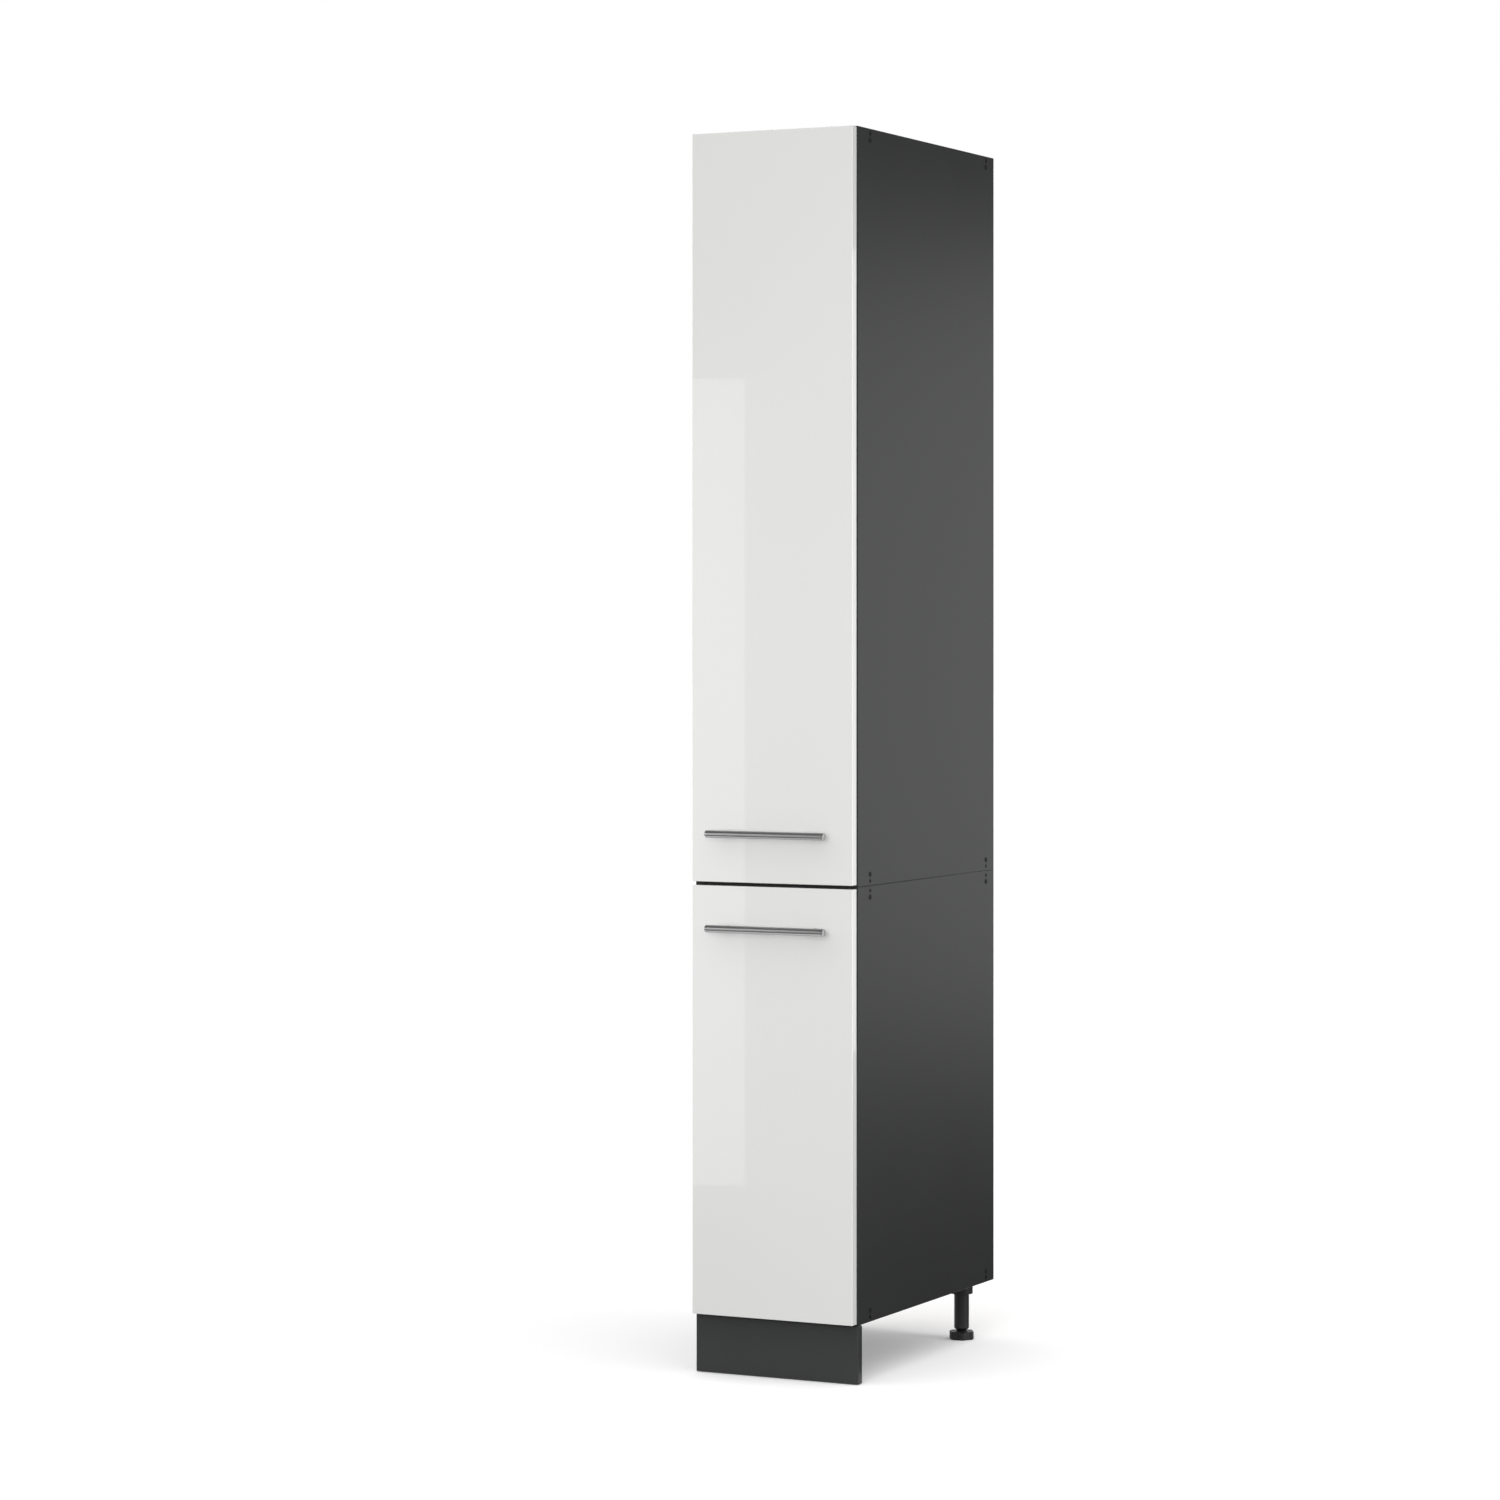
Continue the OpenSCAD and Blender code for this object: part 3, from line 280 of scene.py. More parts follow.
class Recipe:
    """One procedural material round a Principled shader"""

    def __init__(self, name):
        self.material = bpy.data.materials.new(name)
        self.material.use_nodes = True
        self.tree = self.material.node_tree
        self.tree.nodes.clear()
        self.shader = self.tree.nodes.new("ShaderNodeBsdfPrincipled")
        output = self.tree.nodes.new("ShaderNodeOutputMaterial")
        self.tree.links.new(self.shader.outputs[0], output.inputs["Surface"])

    def feed(self, socket, value):
        """Links a shade to a socket, or sets the socket's own value"""
        if isinstance(value, Shade):
            self.tree.links.new(value.socket, socket)
        elif isinstance(value, (tuple, list)) and len(socket.default_value) == 4:
            socket.default_value = (*value, 1)[:4]
        else:
            socket.default_value = value

    def node(self, kind, settings, inputs, output=0):
        """Adds a node: its settings first, then the values or links of its sockets"""
        made = self.tree.nodes.new("ShaderNode" + kind)
        for name, value in settings.items():
            setattr(made, name, value)
        for name, value in inputs.items():
            self.feed(made.inputs[name], value)
        return Shade(self, made.outputs[output])

    def surface(self, **sockets):
        """Sets the Principled shader's sockets; an underscore stands for a space"""
        for name, value in sockets.items():
            self.feed(self.shader.inputs[name.replace("_", " ")], value)
        return self.material

    def place(self, stretch=(1, 1, 1)):
        """Object coordinates in metres, stretched along the axes"""
        place = self.node("TexCoord", {}, {}, output="Object")
        if tuple(stretch) == (1, 1, 1):
            return place
        return self.node("Mapping", {}, {"Vector": place, "Scale": Vector(stretch)})

    def along(self):
        """The object's X, Y and Z, each as a number"""
        place = self.place()
        return [self.node("SeparateXYZ", {}, {"Vector": place}, output=axis) for axis in "XYZ"]

    def noise(self, size, stretch=(1, 1, 1), detail=2.0, roughness=0.5):
        """Noise from 0 to 1, whose waves are about as long as size, in metres"""
        inputs = {"Vector": self.place(stretch), "Scale": 1 / size}
        return self.node("TexNoise", {}, inputs | {"Detail": detail, "Roughness": roughness})

    def cells(self, size, stretch=(1, 1, 1), output="Distance"):
        """Cells of that size, in metres: the distance from their middle, or each cell's own colour"""
        inputs = {"Vector": self.place(stretch), "Scale": 1 / size}
        return self.node("TexVoronoi", {}, inputs, output=output)

    def flakes(self, size, stretch=(1, 1, 1)):
        """Cells of that size, in metres, each with its own number from 0 to 1"""
        return self.node("SeparateXYZ", {}, {"Vector": self.cells(size, stretch, output="Color")})

    # A Mix node has sockets of one name for each type, so they go by number
    def mixed(self, mask, low, high):
        """One number where the mask is 0, the other where it is 1"""
        return self.node("Mix", {"data_type": "FLOAT"}, {0: mask, 2: low, 3: high})

    def blend(self, mask, low, high):
        """One colour where the mask is 0, the other where it is 1"""
        return self.node("Mix", {"data_type": "RGBA"}, {0: mask, 6: low, 7: high}, output=2)

    def vary(self, mask, base, low, high):
        """A colour made darker or lighter: times low where the mask is 0, times high where it is 1"""
        return self.blend(mask, tone(base, low), tone(base, high))

    def bump(self, height, depth, strength=1.0):
        """Relief of that depth, in metres, for a height from 0 to 1"""
        return self.node("Bump", {}, {"Height": height, "Distance": depth, "Strength": strength})


def tone(base, factor):
    """A colour made lighter or darker"""
    return tuple(min(1.0, part * factor) for part in base)


# ---------------------------------------------------------------- materials


def lacquer_finish(finishes):
    """White lacquer, mirror-like in front and matt on the rear face"""
    recipe = Recipe("gloss_lacquer")
    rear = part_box("upper_door")[1].y
    matt_depth = 0.6 * MM
    gloss = recipe.along()[1] < rear - matt_depth
    cloud = recipe.noise(size=0.35, detail=1.0)
    peel = recipe.noise(size=9 * MM, detail=1.0) * 0.7 + recipe.noise(size=2.2 * MM) * 0.3
    grain = recipe.noise(size=0.5 * MM)
    return recipe.surface(
        Base_Color=recipe.vary(cloud, finishes.lacquer, 0.99, 1.01),
        Roughness=recipe.mixed(gloss, 0.42, 0.22) + (recipe.noise(size=60 * MM) - 0.5) * 0.03,
        Coat_Weight=gloss,
        Coat_Roughness=0.015,
        Normal=recipe.bump(recipe.mixed(gloss, grain * 0.5, peel * 0.02), depth=0.1 * MM, strength=0.25),
    )


def board_finish(finishes, plinth=False):
    """Anthracite melamine with a fine pearl grain; the edges that nobody sees are raw chipboard"""
    recipe = Recipe("plinth_melamine_painted_lighter" if plinth else "anthracite_board")
    # The plinth takes a lighter copy of the same melamine: painted light on its recessed, shaded face
    shade = finishes.plinth if plinth else finishes.melamine
    pearl = recipe.noise(size=0.55 * MM, detail=3.0, roughness=0.6)
    cloud = recipe.noise(size=0.12, detail=2.0)
    melamine = recipe.vary(cloud * 0.6 + pearl * 0.4, shade, 0.9, 1.12)
    roughness = 0.30 + pearl * 0.08 + cloud * 0.03
    shine = 0.205
    if plinth:
        return recipe.surface(
            Base_Color=melamine,
            Roughness=roughness,
            Specular_IOR_Level=shine,
            Normal=recipe.bump(pearl, depth=0.05 * MM, strength=0.25),
        )
    across, back, up = recipe.along()
    raw_depth = 0.05 * MM
    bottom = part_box("lower_side_right")[0].z
    in_side = across ** 2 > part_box("lower_bottom")[1].x ** 2
    raw = (back > CAD_BOUNDS[1].y - raw_depth) | ((up < bottom + raw_depth) & in_side)
    flakes = recipe.flakes(size=2.2 * MM, stretch=(1, 1, 0.45))
    gaps = recipe.cells(size=1.4 * MM)
    chips = recipe.vary(flakes * 0.75 + gaps * 0.5, finishes.chipboard, 0.55, 1.3)
    return recipe.surface(
        Base_Color=recipe.blend(raw, melamine, chips),
        Roughness=recipe.mixed(raw, roughness, 0.85),
        Specular_IOR_Level=shine,
        Normal=recipe.bump(recipe.mixed(raw, pearl * 0.12, gaps), depth=0.35 * MM, strength=0.3),
    )


def hardboard_finish(finishes):
    """Thin fibreboard, coated towards the baskets and brown fibre behind"""
    recipe = Recipe("back_hardboard")
    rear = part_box("upper_back")[1].y
    raw_depth = 0.3 * MM
    raw = recipe.along()[1] > rear - raw_depth
    fibre = recipe.noise(size=1.2 * MM, stretch=(1, 1, 0.5), detail=4.0, roughness=0.7)
    cloud = recipe.noise(size=45 * MM, detail=3.0)
    brown = recipe.vary(fibre * 0.6 + cloud * 0.4, finishes.hardboard, 0.65, 1.35)
    pearl = recipe.noise(size=0.55 * MM, detail=3.0)
    coat = recipe.vary(pearl, finishes.melamine, 0.9, 1.12)
    return recipe.surface(
        Base_Color=recipe.blend(raw, coat, brown),
        Roughness=recipe.mixed(raw, 0.36, 0.68 + fibre * 0.1),
        Specular_IOR_Level=0.25,
        Normal=recipe.bump(fibre, depth=0.12 * MM, strength=0.3),
    )


def brushed_finish(finishes):
    """Stainless steel, brushed along the bar"""
    recipe = Recipe("brushed_stainless")
    streaks = recipe.noise(size=0.35 * MM, stretch=(0.02, 1, 1), detail=3.0, roughness=0.6)
    cloud = recipe.noise(size=18 * MM, detail=2.0)
    return recipe.surface(
        Base_Color=recipe.vary(streaks, finishes.stainless, 0.86, 1.1),
        Metallic=1.0,
        Roughness=0.22 + streaks * 0.12 + cloud * 0.05,
        Specular_Tint=(0.25, 0.25, 0.25, 1),  # darker where the bar turns away
        Normal=recipe.bump(streaks, depth=0.03 * MM, strength=0.35),
    )


def chrome_finish(finishes):
    """Bright chrome on drawn wire"""
    recipe = Recipe("bright_chrome")
    smear = recipe.noise(size=14 * MM, detail=3.0)
    draw = recipe.noise(size=0.9 * MM, detail=2.0)
    return recipe.surface(
        Base_Color=recipe.vary(smear, finishes.chrome, 0.96, 1.03),
        Metallic=1.0,
        Roughness=0.05 + smear * 0.07,
        Normal=recipe.bump(draw, depth=0.02 * MM, strength=0.15),
    )


def zinc_finish(finishes, name="rolled_zinc", smoother=0.0):
    """Zinc-plated steel, with faint rolling lines along Y and a cloudy passivation"""
    recipe = Recipe(name)
    lines = recipe.noise(size=0.5 * MM, stretch=(1, 0.03, 1), detail=2.0)
    cloud = recipe.noise(size=22 * MM, detail=4.0, roughness=0.6)
    return recipe.surface(
        Base_Color=recipe.vary(cloud, finishes.zinc, 0.88, 1.08),
        Metallic=1.0,
        Roughness=0.34 - smoother + cloud * 0.14 + lines * 0.05,
        Normal=recipe.bump(lines, depth=0.03 * MM, strength=0.3),
    )


def powder_finish(finishes):
    """Silver powder coat with its fine orange peel and flakes"""
    recipe = Recipe("silver_powder_coat")
    peel = recipe.noise(size=1.6 * MM, detail=2.0)
    flakes = recipe.flakes(size=0.28 * MM)
    return recipe.surface(
        Base_Color=recipe.vary(flakes, finishes.powder, 0.82, 1.22),
        Metallic=0.55,
        Roughness=0.40 + peel * 0.08 + flakes * 0.06,
        Normal=recipe.bump(peel, depth=0.06 * MM, strength=0.3),
    )


def moulded_finish(name, shade, roughness=0.42, shine=0.4):
    """Injection-moulded plastic with a spark-eroded grain"""
    recipe = Recipe(name)
    grain = recipe.noise(size=0.4 * MM, detail=3.0, roughness=0.65)
    cloud = recipe.noise(size=16 * MM, detail=2.0)
    return recipe.surface(
        Base_Color=recipe.vary(grain * 0.5 + cloud * 0.5, shade, 0.85, 1.2),
        Roughness=roughness + grain * 0.12,
        Specular_IOR_Level=shine,
        Normal=recipe.bump(grain, depth=0.05 * MM, strength=0.35),
    )


def silicone_finish(finishes):
    """Clear silicone, cloudy inside"""
    recipe = Recipe("clear_silicone")
    cloud = recipe.noise(size=3 * MM, detail=3.0)
    return recipe.surface(
        Base_Color=recipe.vary(cloud, finishes.silicone, 0.93, 1.05),
        Roughness=0.24 + cloud * 0.12,
        Subsurface_Weight=0.4,
        Subsurface_Scale=1 * MM,
        Normal=recipe.bump(cloud, depth=0.05 * MM, strength=0.3),
    )


def beech_finish(finishes):
    """Turned beech, with its flecks along the dowel"""
    recipe = Recipe("turned_beech")
    flecks = recipe.cells(size=1.1 * MM, stretch=(0.15, 1, 1))
    grain = recipe.noise(size=0.8 * MM, stretch=(0.06, 1, 1), detail=4.0)
    return recipe.surface(
        Base_Color=recipe.vary(grain * 0.7 + flecks * 0.4, finishes.beech, 0.72, 1.2),
        Roughness=0.55 + grain * 0.15,
        Normal=recipe.bump(grain, depth=0.08 * MM, strength=0.4),
    )


def oxide_finish(finishes):
    """Black-oxide steel of the carcass screws"""
    recipe = Recipe("black_oxide")
    cloud = recipe.noise(size=3 * MM, detail=3.0)
    return recipe.surface(
        Base_Color=recipe.vary(cloud, finishes.oxide, 0.8, 1.4),
        Metallic=0.7,
        Roughness=0.36 + cloud * 0.16,
        Normal=recipe.bump(cloud, depth=0.03 * MM, strength=0.3),
    )


FINISHES = {
    "carcass_board": board_finish,
    "back_board": hardboard_finish,
    "door_gloss": lacquer_finish,
    "handle_steel": brushed_finish,
    "runner_zinc": zinc_finish,
    "ball_steel": lambda finishes: zinc_finish(finishes, "polished_balls", smoother=0.18),
    "frame_silver": powder_finish,
    "wire_chrome": chrome_finish,
    "foot_black": lambda finishes: moulded_finish("black_moulding", finishes.moulding),
    "cap_black": lambda finishes: moulded_finish("black_caps", finishes.moulding, roughness=0.5, shine=0.1),
    "shoe_nylon": lambda finishes: moulded_finish("white_nylon", finishes.nylon),
    "bumper_clear": silicone_finish,
    "dowel_beech": beech_finish,
    "screw_zinc": lambda finishes: zinc_finish(finishes, "zinc_screws", smoother=0.06),
    "screw_black": oxide_finish,
}
MADE = {}  # the materials made so far, by slot


def finish_of(node):
    """The material of a node's slot, made once"""
    slot = SLOT_OF[node]
    if slot not in MADE:
        MADE[slot] = FINISHES[slot](bpy.context.scene.larder_finishes)
    return MADE[slot]


# ---------------------------------------------------------------- meshes


def smooth_by_angle(mesh, angle=math.radians(32)):
    """Shades a mesh smooth, apart from its sharp edges"""
    bm = bmesh.new()
    bm.from_mesh(mesh)
    for face in bm.faces:
        face.smooth = True
    for edge in bm.edges:
        edge.smooth = len(edge.link_faces) == 2 and edge.calc_face_angle(0) < angle
    bm.to_mesh(mesh)
    bm.free()


def piece_from(bm, name):
    """An object at the origin that holds the mesh"""
    mesh = bpy.data.meshes.new(name)
    bm.to_mesh(mesh)
    bm.free()
    smooth_by_angle(mesh)
    piece = bpy.data.objects.new(name, mesh)
    bpy.context.scene.collection.objects.link(piece)
    return piece


def stand_for(piece, node, flat_faces=True):
    """Gives a piece the finish and the place of a node"""
    piece.data.materials.append(finish_of(node))
    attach(piece, BODY_OF[node])
    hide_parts(node)
    if flat_faces:
        weighted = piece.modifiers.new("flat faces", "WEIGHTED_NORMAL")
        weighted.keep_sharp = True
        weighted.weight = 100
    return piece


def keep_node(node):
    """Keeps a node's own shape and gives it its finish"""
    shape = frame["nodes"][node].data
    shape.materials.clear()
    shape.materials.append(finish_of(node))


def bevelled(bm, edges, radius, segments):
    """Rounds the edges"""
    bmesh.ops.bevel(
        bm, geom=edges, offset=radius, offset_type="OFFSET", segments=segments, profile=0.5,
        affect="EDGES", clamp_overlap=True, material=-1,
    )


def softened(node, radius, segments=2, least=6 * MM, angle=math.radians(40)):
    """A merged copy of a node whose long sharp edges are rounded"""
    bm = bmesh.new()
    bm.from_mesh(frame["nodes"][node].data)
    bmesh.ops.remove_doubles(bm, verts=bm.verts, dist=MERGE)
    bmesh.ops.dissolve_limit(bm, angle_limit=math.radians(0.5), verts=bm.verts, edges=bm.edges)
    sharp = [
        edge for edge in bm.edges
        if edge.is_manifold and edge.calc_length() > least and edge.calc_face_angle(0) > angle
    ]
    bevelled(bm, sharp, radius, segments)
    return stand_for(piece_from(bm, node + "_finished"), node)


def slab(low, high):
    """A closed box"""
    bm = bmesh.new()
    bmesh.ops.create_cube(bm, size=1)
    bmesh.ops.scale(bm, vec=high - low, verts=bm.verts)
    bmesh.ops.translate(bm, vec=(high + low) / 2, verts=bm.verts)
    return bm


class Wire:
    """A round wire that is drawn out straight and bent, starting from a ring of points"""

    def __init__(self, bm, start, heading, diameter, sides=12):
        self.bm = bm
        self.at = Vector(start)
        self.heading = Vector(heading).normalized()
        turn = Z.rotation_difference(self.heading).to_matrix().to_4x4()
        stand = Matrix.Translation(self.at) @ turn
        made = bmesh.ops.create_circle(
            bm, cap_ends=False, radius=diameter / 2, segments=sides, matrix=stand
        )
        self.ring = list({edge for vert in made["verts"] for edge in vert.link_edges})
        self.first = list(self.ring)

    def _carry_on(self, geometry):
        """Takes the edges at the wire's new end as its ring"""
        self.ring = [item for item in geometry if isinstance(item, bmesh.types.BMEdge)]

    def straight(self, reach):
        """Draws the wire out"""
        made = bmesh.ops.extrude_edge_only(self.bm, edges=self.ring)["geom"]
        step = self.heading * reach
        bmesh.ops.translate(self.bm, vec=step, verts=[v for v in made if isinstance(v, bmesh.types.BMVert)])
        self.at = self.at + step
        self._carry_on(made)
        return self

    def bend(self, towards, radius, steps=5):
        """Bends the wire a quarter turn towards a direction"""
        towards = Vector(towards).normalized()
        centre = self.at + towards * radius
        axis = self.heading.cross(towards)
        made = bmesh.ops.spin(
            self.bm, geom=self.ring, cent=centre, axis=axis, angle=QUARTER, steps=steps, use_duplicate=False
        )["geom_last"]
        self.at = centre + self.heading * radius
        self.heading = towards
        self._carry_on(made)
        return self

    def capped(self):
        """Closes both ends"""
        bmesh.ops.edgeloop_fill(self.bm, edges=self.first)
        bmesh.ops.edgeloop_fill(self.bm, edges=self.ring)

    def joined(self):
        """Joins the last ring to the first one"""
        ends = {vert for edge in self.first + self.ring for vert in edge.verts}
        bmesh.ops.remove_doubles(self.bm, verts=list(ends), dist=NEAR)


# ---------------------------------------------------------------- operators


class LARDER_OT_carcass(bpy.types.Operator):
    """Finish the boards, back panels and plinth"""

    bl_idname = "larder.carcass"
    bl_label = "Carcass boards"

    def execute(self, context):
        shapes = context.scene.larder_shapes
        for node in nodes_like("_side_left", "_side_right", "_bottom", "_top", "_back"):
            softened(node, shapes.board_round, segments=3, least=20 * MM)
        plinth = softened("plinth", 2 * shapes.board_round, segments=3, least=10 * MM)
        # The plinth's melamine is painted a little lighter, as painted light on its recessed, shaded face,
        # and no edge of it is raw
        plinth.data.materials[0] = board_finish(context.scene.larder_finishes, plinth=True)
        return {"FINISHED"}


class LARDER_OT_doors(bpy.types.Operator):
    """Build the gloss doors with their rounded lacquered edges"""

    bl_idname = "larder.doors"
    bl_label = "Doors"

    def execute(self, context):
        shapes = context.scene.larder_shapes
        for node in nodes_like("_door"):
            low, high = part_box(node)
            bm = slab(low, high)
            front = [edge for edge in bm.edges if all(vert.co.y < high.y - MM for vert in edge.verts)]
            sides = [edge for edge in bm.edges if abs(edge.verts[0].co.y - edge.verts[1].co.y) > MM]
            bevelled(bm, front + sides, shapes.door_round, segments=6)
            rear = [edge for edge in bm.edges if all(vert.co.y > high.y - NEAR for vert in edge.verts)]
            bevelled(bm, rear, shapes.door_back_round, segments=3)
            stand_for(piece_from(bm, node + "_panel"), node)
        return {"FINISHED"}


class LARDER_OT_handles(bpy.types.Operator):
    """Turn the bar handles and set them on their posts"""

    bl_idname = "larder.handles"
    bl_label = "Handles"

    def execute(self, context):
        shapes = context.scene.larder_shapes
        for node in nodes_like("_handle"):
            low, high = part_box(node)
            self.build(node, low, high, shapes)
        return {"FINISHED"}

    def build(self, node, low, high, shapes):
        """A bar from its spun outline, and two posts that run from the door into it"""
        radius = (high.z - low.z) / 2
        centre = Vector((0, low.y + radius, (low.z + high.z) / 2))
        half = high.x
        soft = shapes.bar_round
        inner = radius - shapes.groove_depth
        groove = half - shapes.groove_in
        outline = [(0, half), (radius - soft, half)]
        for a in (QUARTER / 2, QUARTER):
            outline.append((radius - soft + soft * math.sin(a), half - soft + soft * math.cos(a)))
        outline += [(radius, groove), (inner, groove), (inner, groove - shapes.groove_width)]
        outline.append((radius, groove - shapes.groove_width))
        outline += [(out, -along) for out, along in reversed(outline)]
        bm = bmesh.new()
        verts = [bm.verts.new(centre + Vector((along, 0, out))) for out, along in outline]
        edges = [bm.edges.new(pair) for pair in zip(verts, verts[1:])]
        bmesh.ops.spin(
            bm, geom=verts + edges, cent=centre, axis=X, angle=FULL_TURN, steps=64, use_merge=True
        )
        bmesh.ops.remove_doubles(bm, verts=bm.verts, dist=MERGE)
        for side in (-1, 1):
            self.post(bm, side, high.y, centre, shapes)
        bmesh.ops.recalc_face_normals(bm, faces=bm.faces)
        stand_for(piece_from(bm, node + "_bar"), node, flat_faces=False)

    def post(self, bm, side, door_face, centre, shapes):
        """A turned post, a little wider where it stands on the door"""
        thick = shapes.post_round
        foot = shapes.post_foot
        outline = [(0, 0), (thick + foot, 0)]
        for a in (QUARTER / 2, QUARTER):
            outline.append((thick + foot * (1 - math.sin(a)), foot * (1 - math.cos(a))))
        outline.append((thick, door_face - centre.y))
        start = Vector((side * shapes.post_side, door_face, centre.z))
        verts = [bm.verts.new(start + Vector((0, -along, out))) for out, along in outline]
        edges = [bm.edges.new(pair) for pair in zip(verts, verts[1:])]
        bmesh.ops.spin(
            bm, geom=verts + edges, cent=start, axis=Y, angle=FULL_TURN, steps=32, use_merge=True
        )


class LARDER_OT_baskets(bpy.types.Operator):
    """Weld the wire baskets"""

    bl_idname = "larder.baskets"
    bl_label = "Baskets"

    def execute(self, context):
        shapes = context.scene.larder_shapes
        nodes = nodes_like(*(f"_basket_{i}" for i in range(1, 5)))
        low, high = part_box(nodes[0])
        mesh = self.build(low, high, shapes)
        for node in nodes:
            copy = bmesh.new()
            copy.from_mesh(mesh)
            bmesh.ops.translate(copy, vec=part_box(node)[0] - low, verts=copy.verts)
            stand_for(piece_from(copy, node + "_wires"), node, flat_faces=False)
        bpy.data.meshes.remove(mesh)
        return {"FINISHED"}

    def build(self, low, high, shapes):
        """Rim, hoops, mesh wires, end plates and hooks of one basket"""
        bm = bmesh.new()
        weld = shapes.wire_weld
        skin = shapes.hoop_wire + shapes.mesh_wire / 2 - weld
        wide = high.x - low.x
        front, back = low.y + shapes.hook_reach, high.y - shapes.hook_reach
        deep = back - front - 2 * shapes.plate + 2 * weld
        centre = Vector((0, (front + back) / 2, 0))
        top = high.z - shapes.rim_wire / 2
        self.hoop(bm, centre + Z * top, wide, deep, shapes.rim_wire, shapes.hoop_corner)
        for lift in (shapes.low_hoop, (shapes.low_hoop + top - low.z - shapes.rim_wire / 2) / 2):
            self.hoop(bm, centre + Z * (low.z + lift), wide, deep, shapes.hoop_wire, shapes.hoop_corner)
        legs = Vector((wide / 2 - skin, deep / 2 - skin, 0))
        span = legs - Vector((1, 1, 0)) * shapes.mesh_inset
        cross, long = low.z + shapes.cross_lift, low.z + shapes.mesh_wire / 2
        self.row(bm, centre + Z * cross, X * legs.x, Y * span.y, shapes.cross_pitch, top - cross, shapes)
        self.row(bm, centre + Z * long, Y * legs.y, X * span.x, shapes.long_pitch, top - long, shapes)
        for side in (-1, 1):
            self.hooks(bm, front if side < 0 else back, side, high.z, shapes)
        bmesh.ops.recalc_face_normals(bm, faces=bm.faces)
        mesh = bpy.data.meshes.new("basket")
        bm.to_mesh(mesh)
        bm.free()
        return mesh

    def hoop(self, bm, centre, wide, deep, diameter, corner):
        """A level hoop with round corners; wide and deep are its outside"""
        wide, deep = wide - diameter, deep - diameter
        wire = Wire(bm, centre + Vector((-wide / 2 + corner, -deep / 2, 0)), X, diameter)
        for reach, turn in ((wide, Y), (deep, -X), (wide, -Y), (deep, X)):
            wire.straight(reach - 2 * corner).bend(turn, corner)
        wire.joined()

    def row(self, bm, centre, half, span, pitch, rise, shapes):
        """A row of U-shaped wires from -span to span, evenly spaced and no wider apart than the pitch"""
        count = math.ceil(2 * span.length / pitch)
        corner = shapes.mesh_corner
        for i in range(count + 1):
            middle = centre + span * (2 * i / count - 1)
            wire = Wire(bm, middle - half + Z * rise, -Z, shapes.mesh_wire, sides=8)
            wire.straight(rise - corner).bend(half, corner, steps=4)
            wire.straight(2 * (half.length - corner)).bend(Z, corner, steps=4)
            wire.straight(rise - corner)
            wire.capped()

    def hooks(self, bm, face, side, top, shapes):
        """The plate at one end of a basket and its two hooks, each an arm and a tongue"""
        wide, half = shapes.plate_wide / 2, shapes.hook_thick / 2
        reach, down = shapes.hook_reach, -shapes.hook_down
        arm, tongue = down - shapes.hook_arm, down - shapes.hook_drop
        parts = [((-wide, 0, -shapes.plate_tall), (wide, shapes.plate, 0))]
        for x in (-shapes.hook_side, shapes.hook_side):
            parts.append(((x - half, -reach, arm), (x + half, shapes.plate / 2, down)))
            parts.append(((x - half, -reach, tongue), (x + half, shapes.hook_tongue - reach, down)))
        for part in parts:
            corners = [Vector((x, face - side * y, top + z)) for x, y, z in part]
            box = slab(Vector(map(min, *corners)), Vector(map(max, *corners)))
            bevelled(box, box.edges[:], shapes.hook_round, segments=2)
            mesh = bpy.data.meshes.new("part")
            box.to_mesh(mesh)
            box.free()
            bm.from_mesh(mesh)
            bpy.data.meshes.remove(mesh)


class LARDER_OT_frames(bpy.types.Operator):
    """Finish the uprights, beams, carriers and guide shoes"""

    bl_idname = "larder.frames"
    bl_label = "Pull-out frames"

    def execute(self, context):
        shapes = context.scene.larder_shapes
        for node in nodes_like("_upright", "_top_beam"):
            softened(node, shapes.tube_round, segments=3, least=15 * MM)
        for node in nodes_like("_carrier", "_door_brackets"):
            softened(node, shapes.sheet_round, segments=2)
        for node in nodes_like("_guide_shoe"):
            softened(node, shapes.moulded_round, segments=2, least=5 * MM)
        return {"FINISHED"}


class LARDER_OT_runners(bpy.types.Operator):
    """Finish the runners, their ball cages and the guide rails"""

    bl_idname = "larder.runners"
    bl_label = "Runners"

    def execute(self, context):
        shapes = context.scene.larder_shapes
        for node in nodes_like("_runners", "guide_rails"):
            softened(node, shapes.sheet_round, segments=2, least=8 * MM)
        for node in nodes_like("_cages"):
            keep_node(node)
        return {"FINISHED"}


class LARDER_OT_feet(bpy.types.Operator):
    """Finish the levelling feet and the plinth clips"""

    bl_idname = "larder.feet"
    bl_label = "Feet"

    def execute(self, context):
        shapes = context.scene.larder_shapes
        for node in nodes_like("foot_sockets", "foot_shanks", "plinth_clips"):
            softened(node, shapes.moulded_round, segments=2, least=4 * MM)
        for node in sorted(node for node in frame["nodes"] if node.startswith(("foot_front", "foot_rear"))):
            softened(node, shapes.moulded_round, segments=2, least=4 * MM)
        return {"FINISHED"}


class LARDER_OT_fasteners(bpy.types.Operator):
    """Finish the screws, bolts, dowels, caps, brackets and bumpers"""

    bl_idname = "larder.fasteners"
    bl_label = "Fasteners and small fittings"

    def execute(self, context):
        softened("wall_brackets", context.scene.larder_shapes.sheet_round, segments=2, least=8 * MM)
        for node in nodes_like("dowels", "_screws", "_fixings", "hole_caps", "stack_bolts", "door_bumpers"):
            keep_node(node)
        return {"FINISHED"}


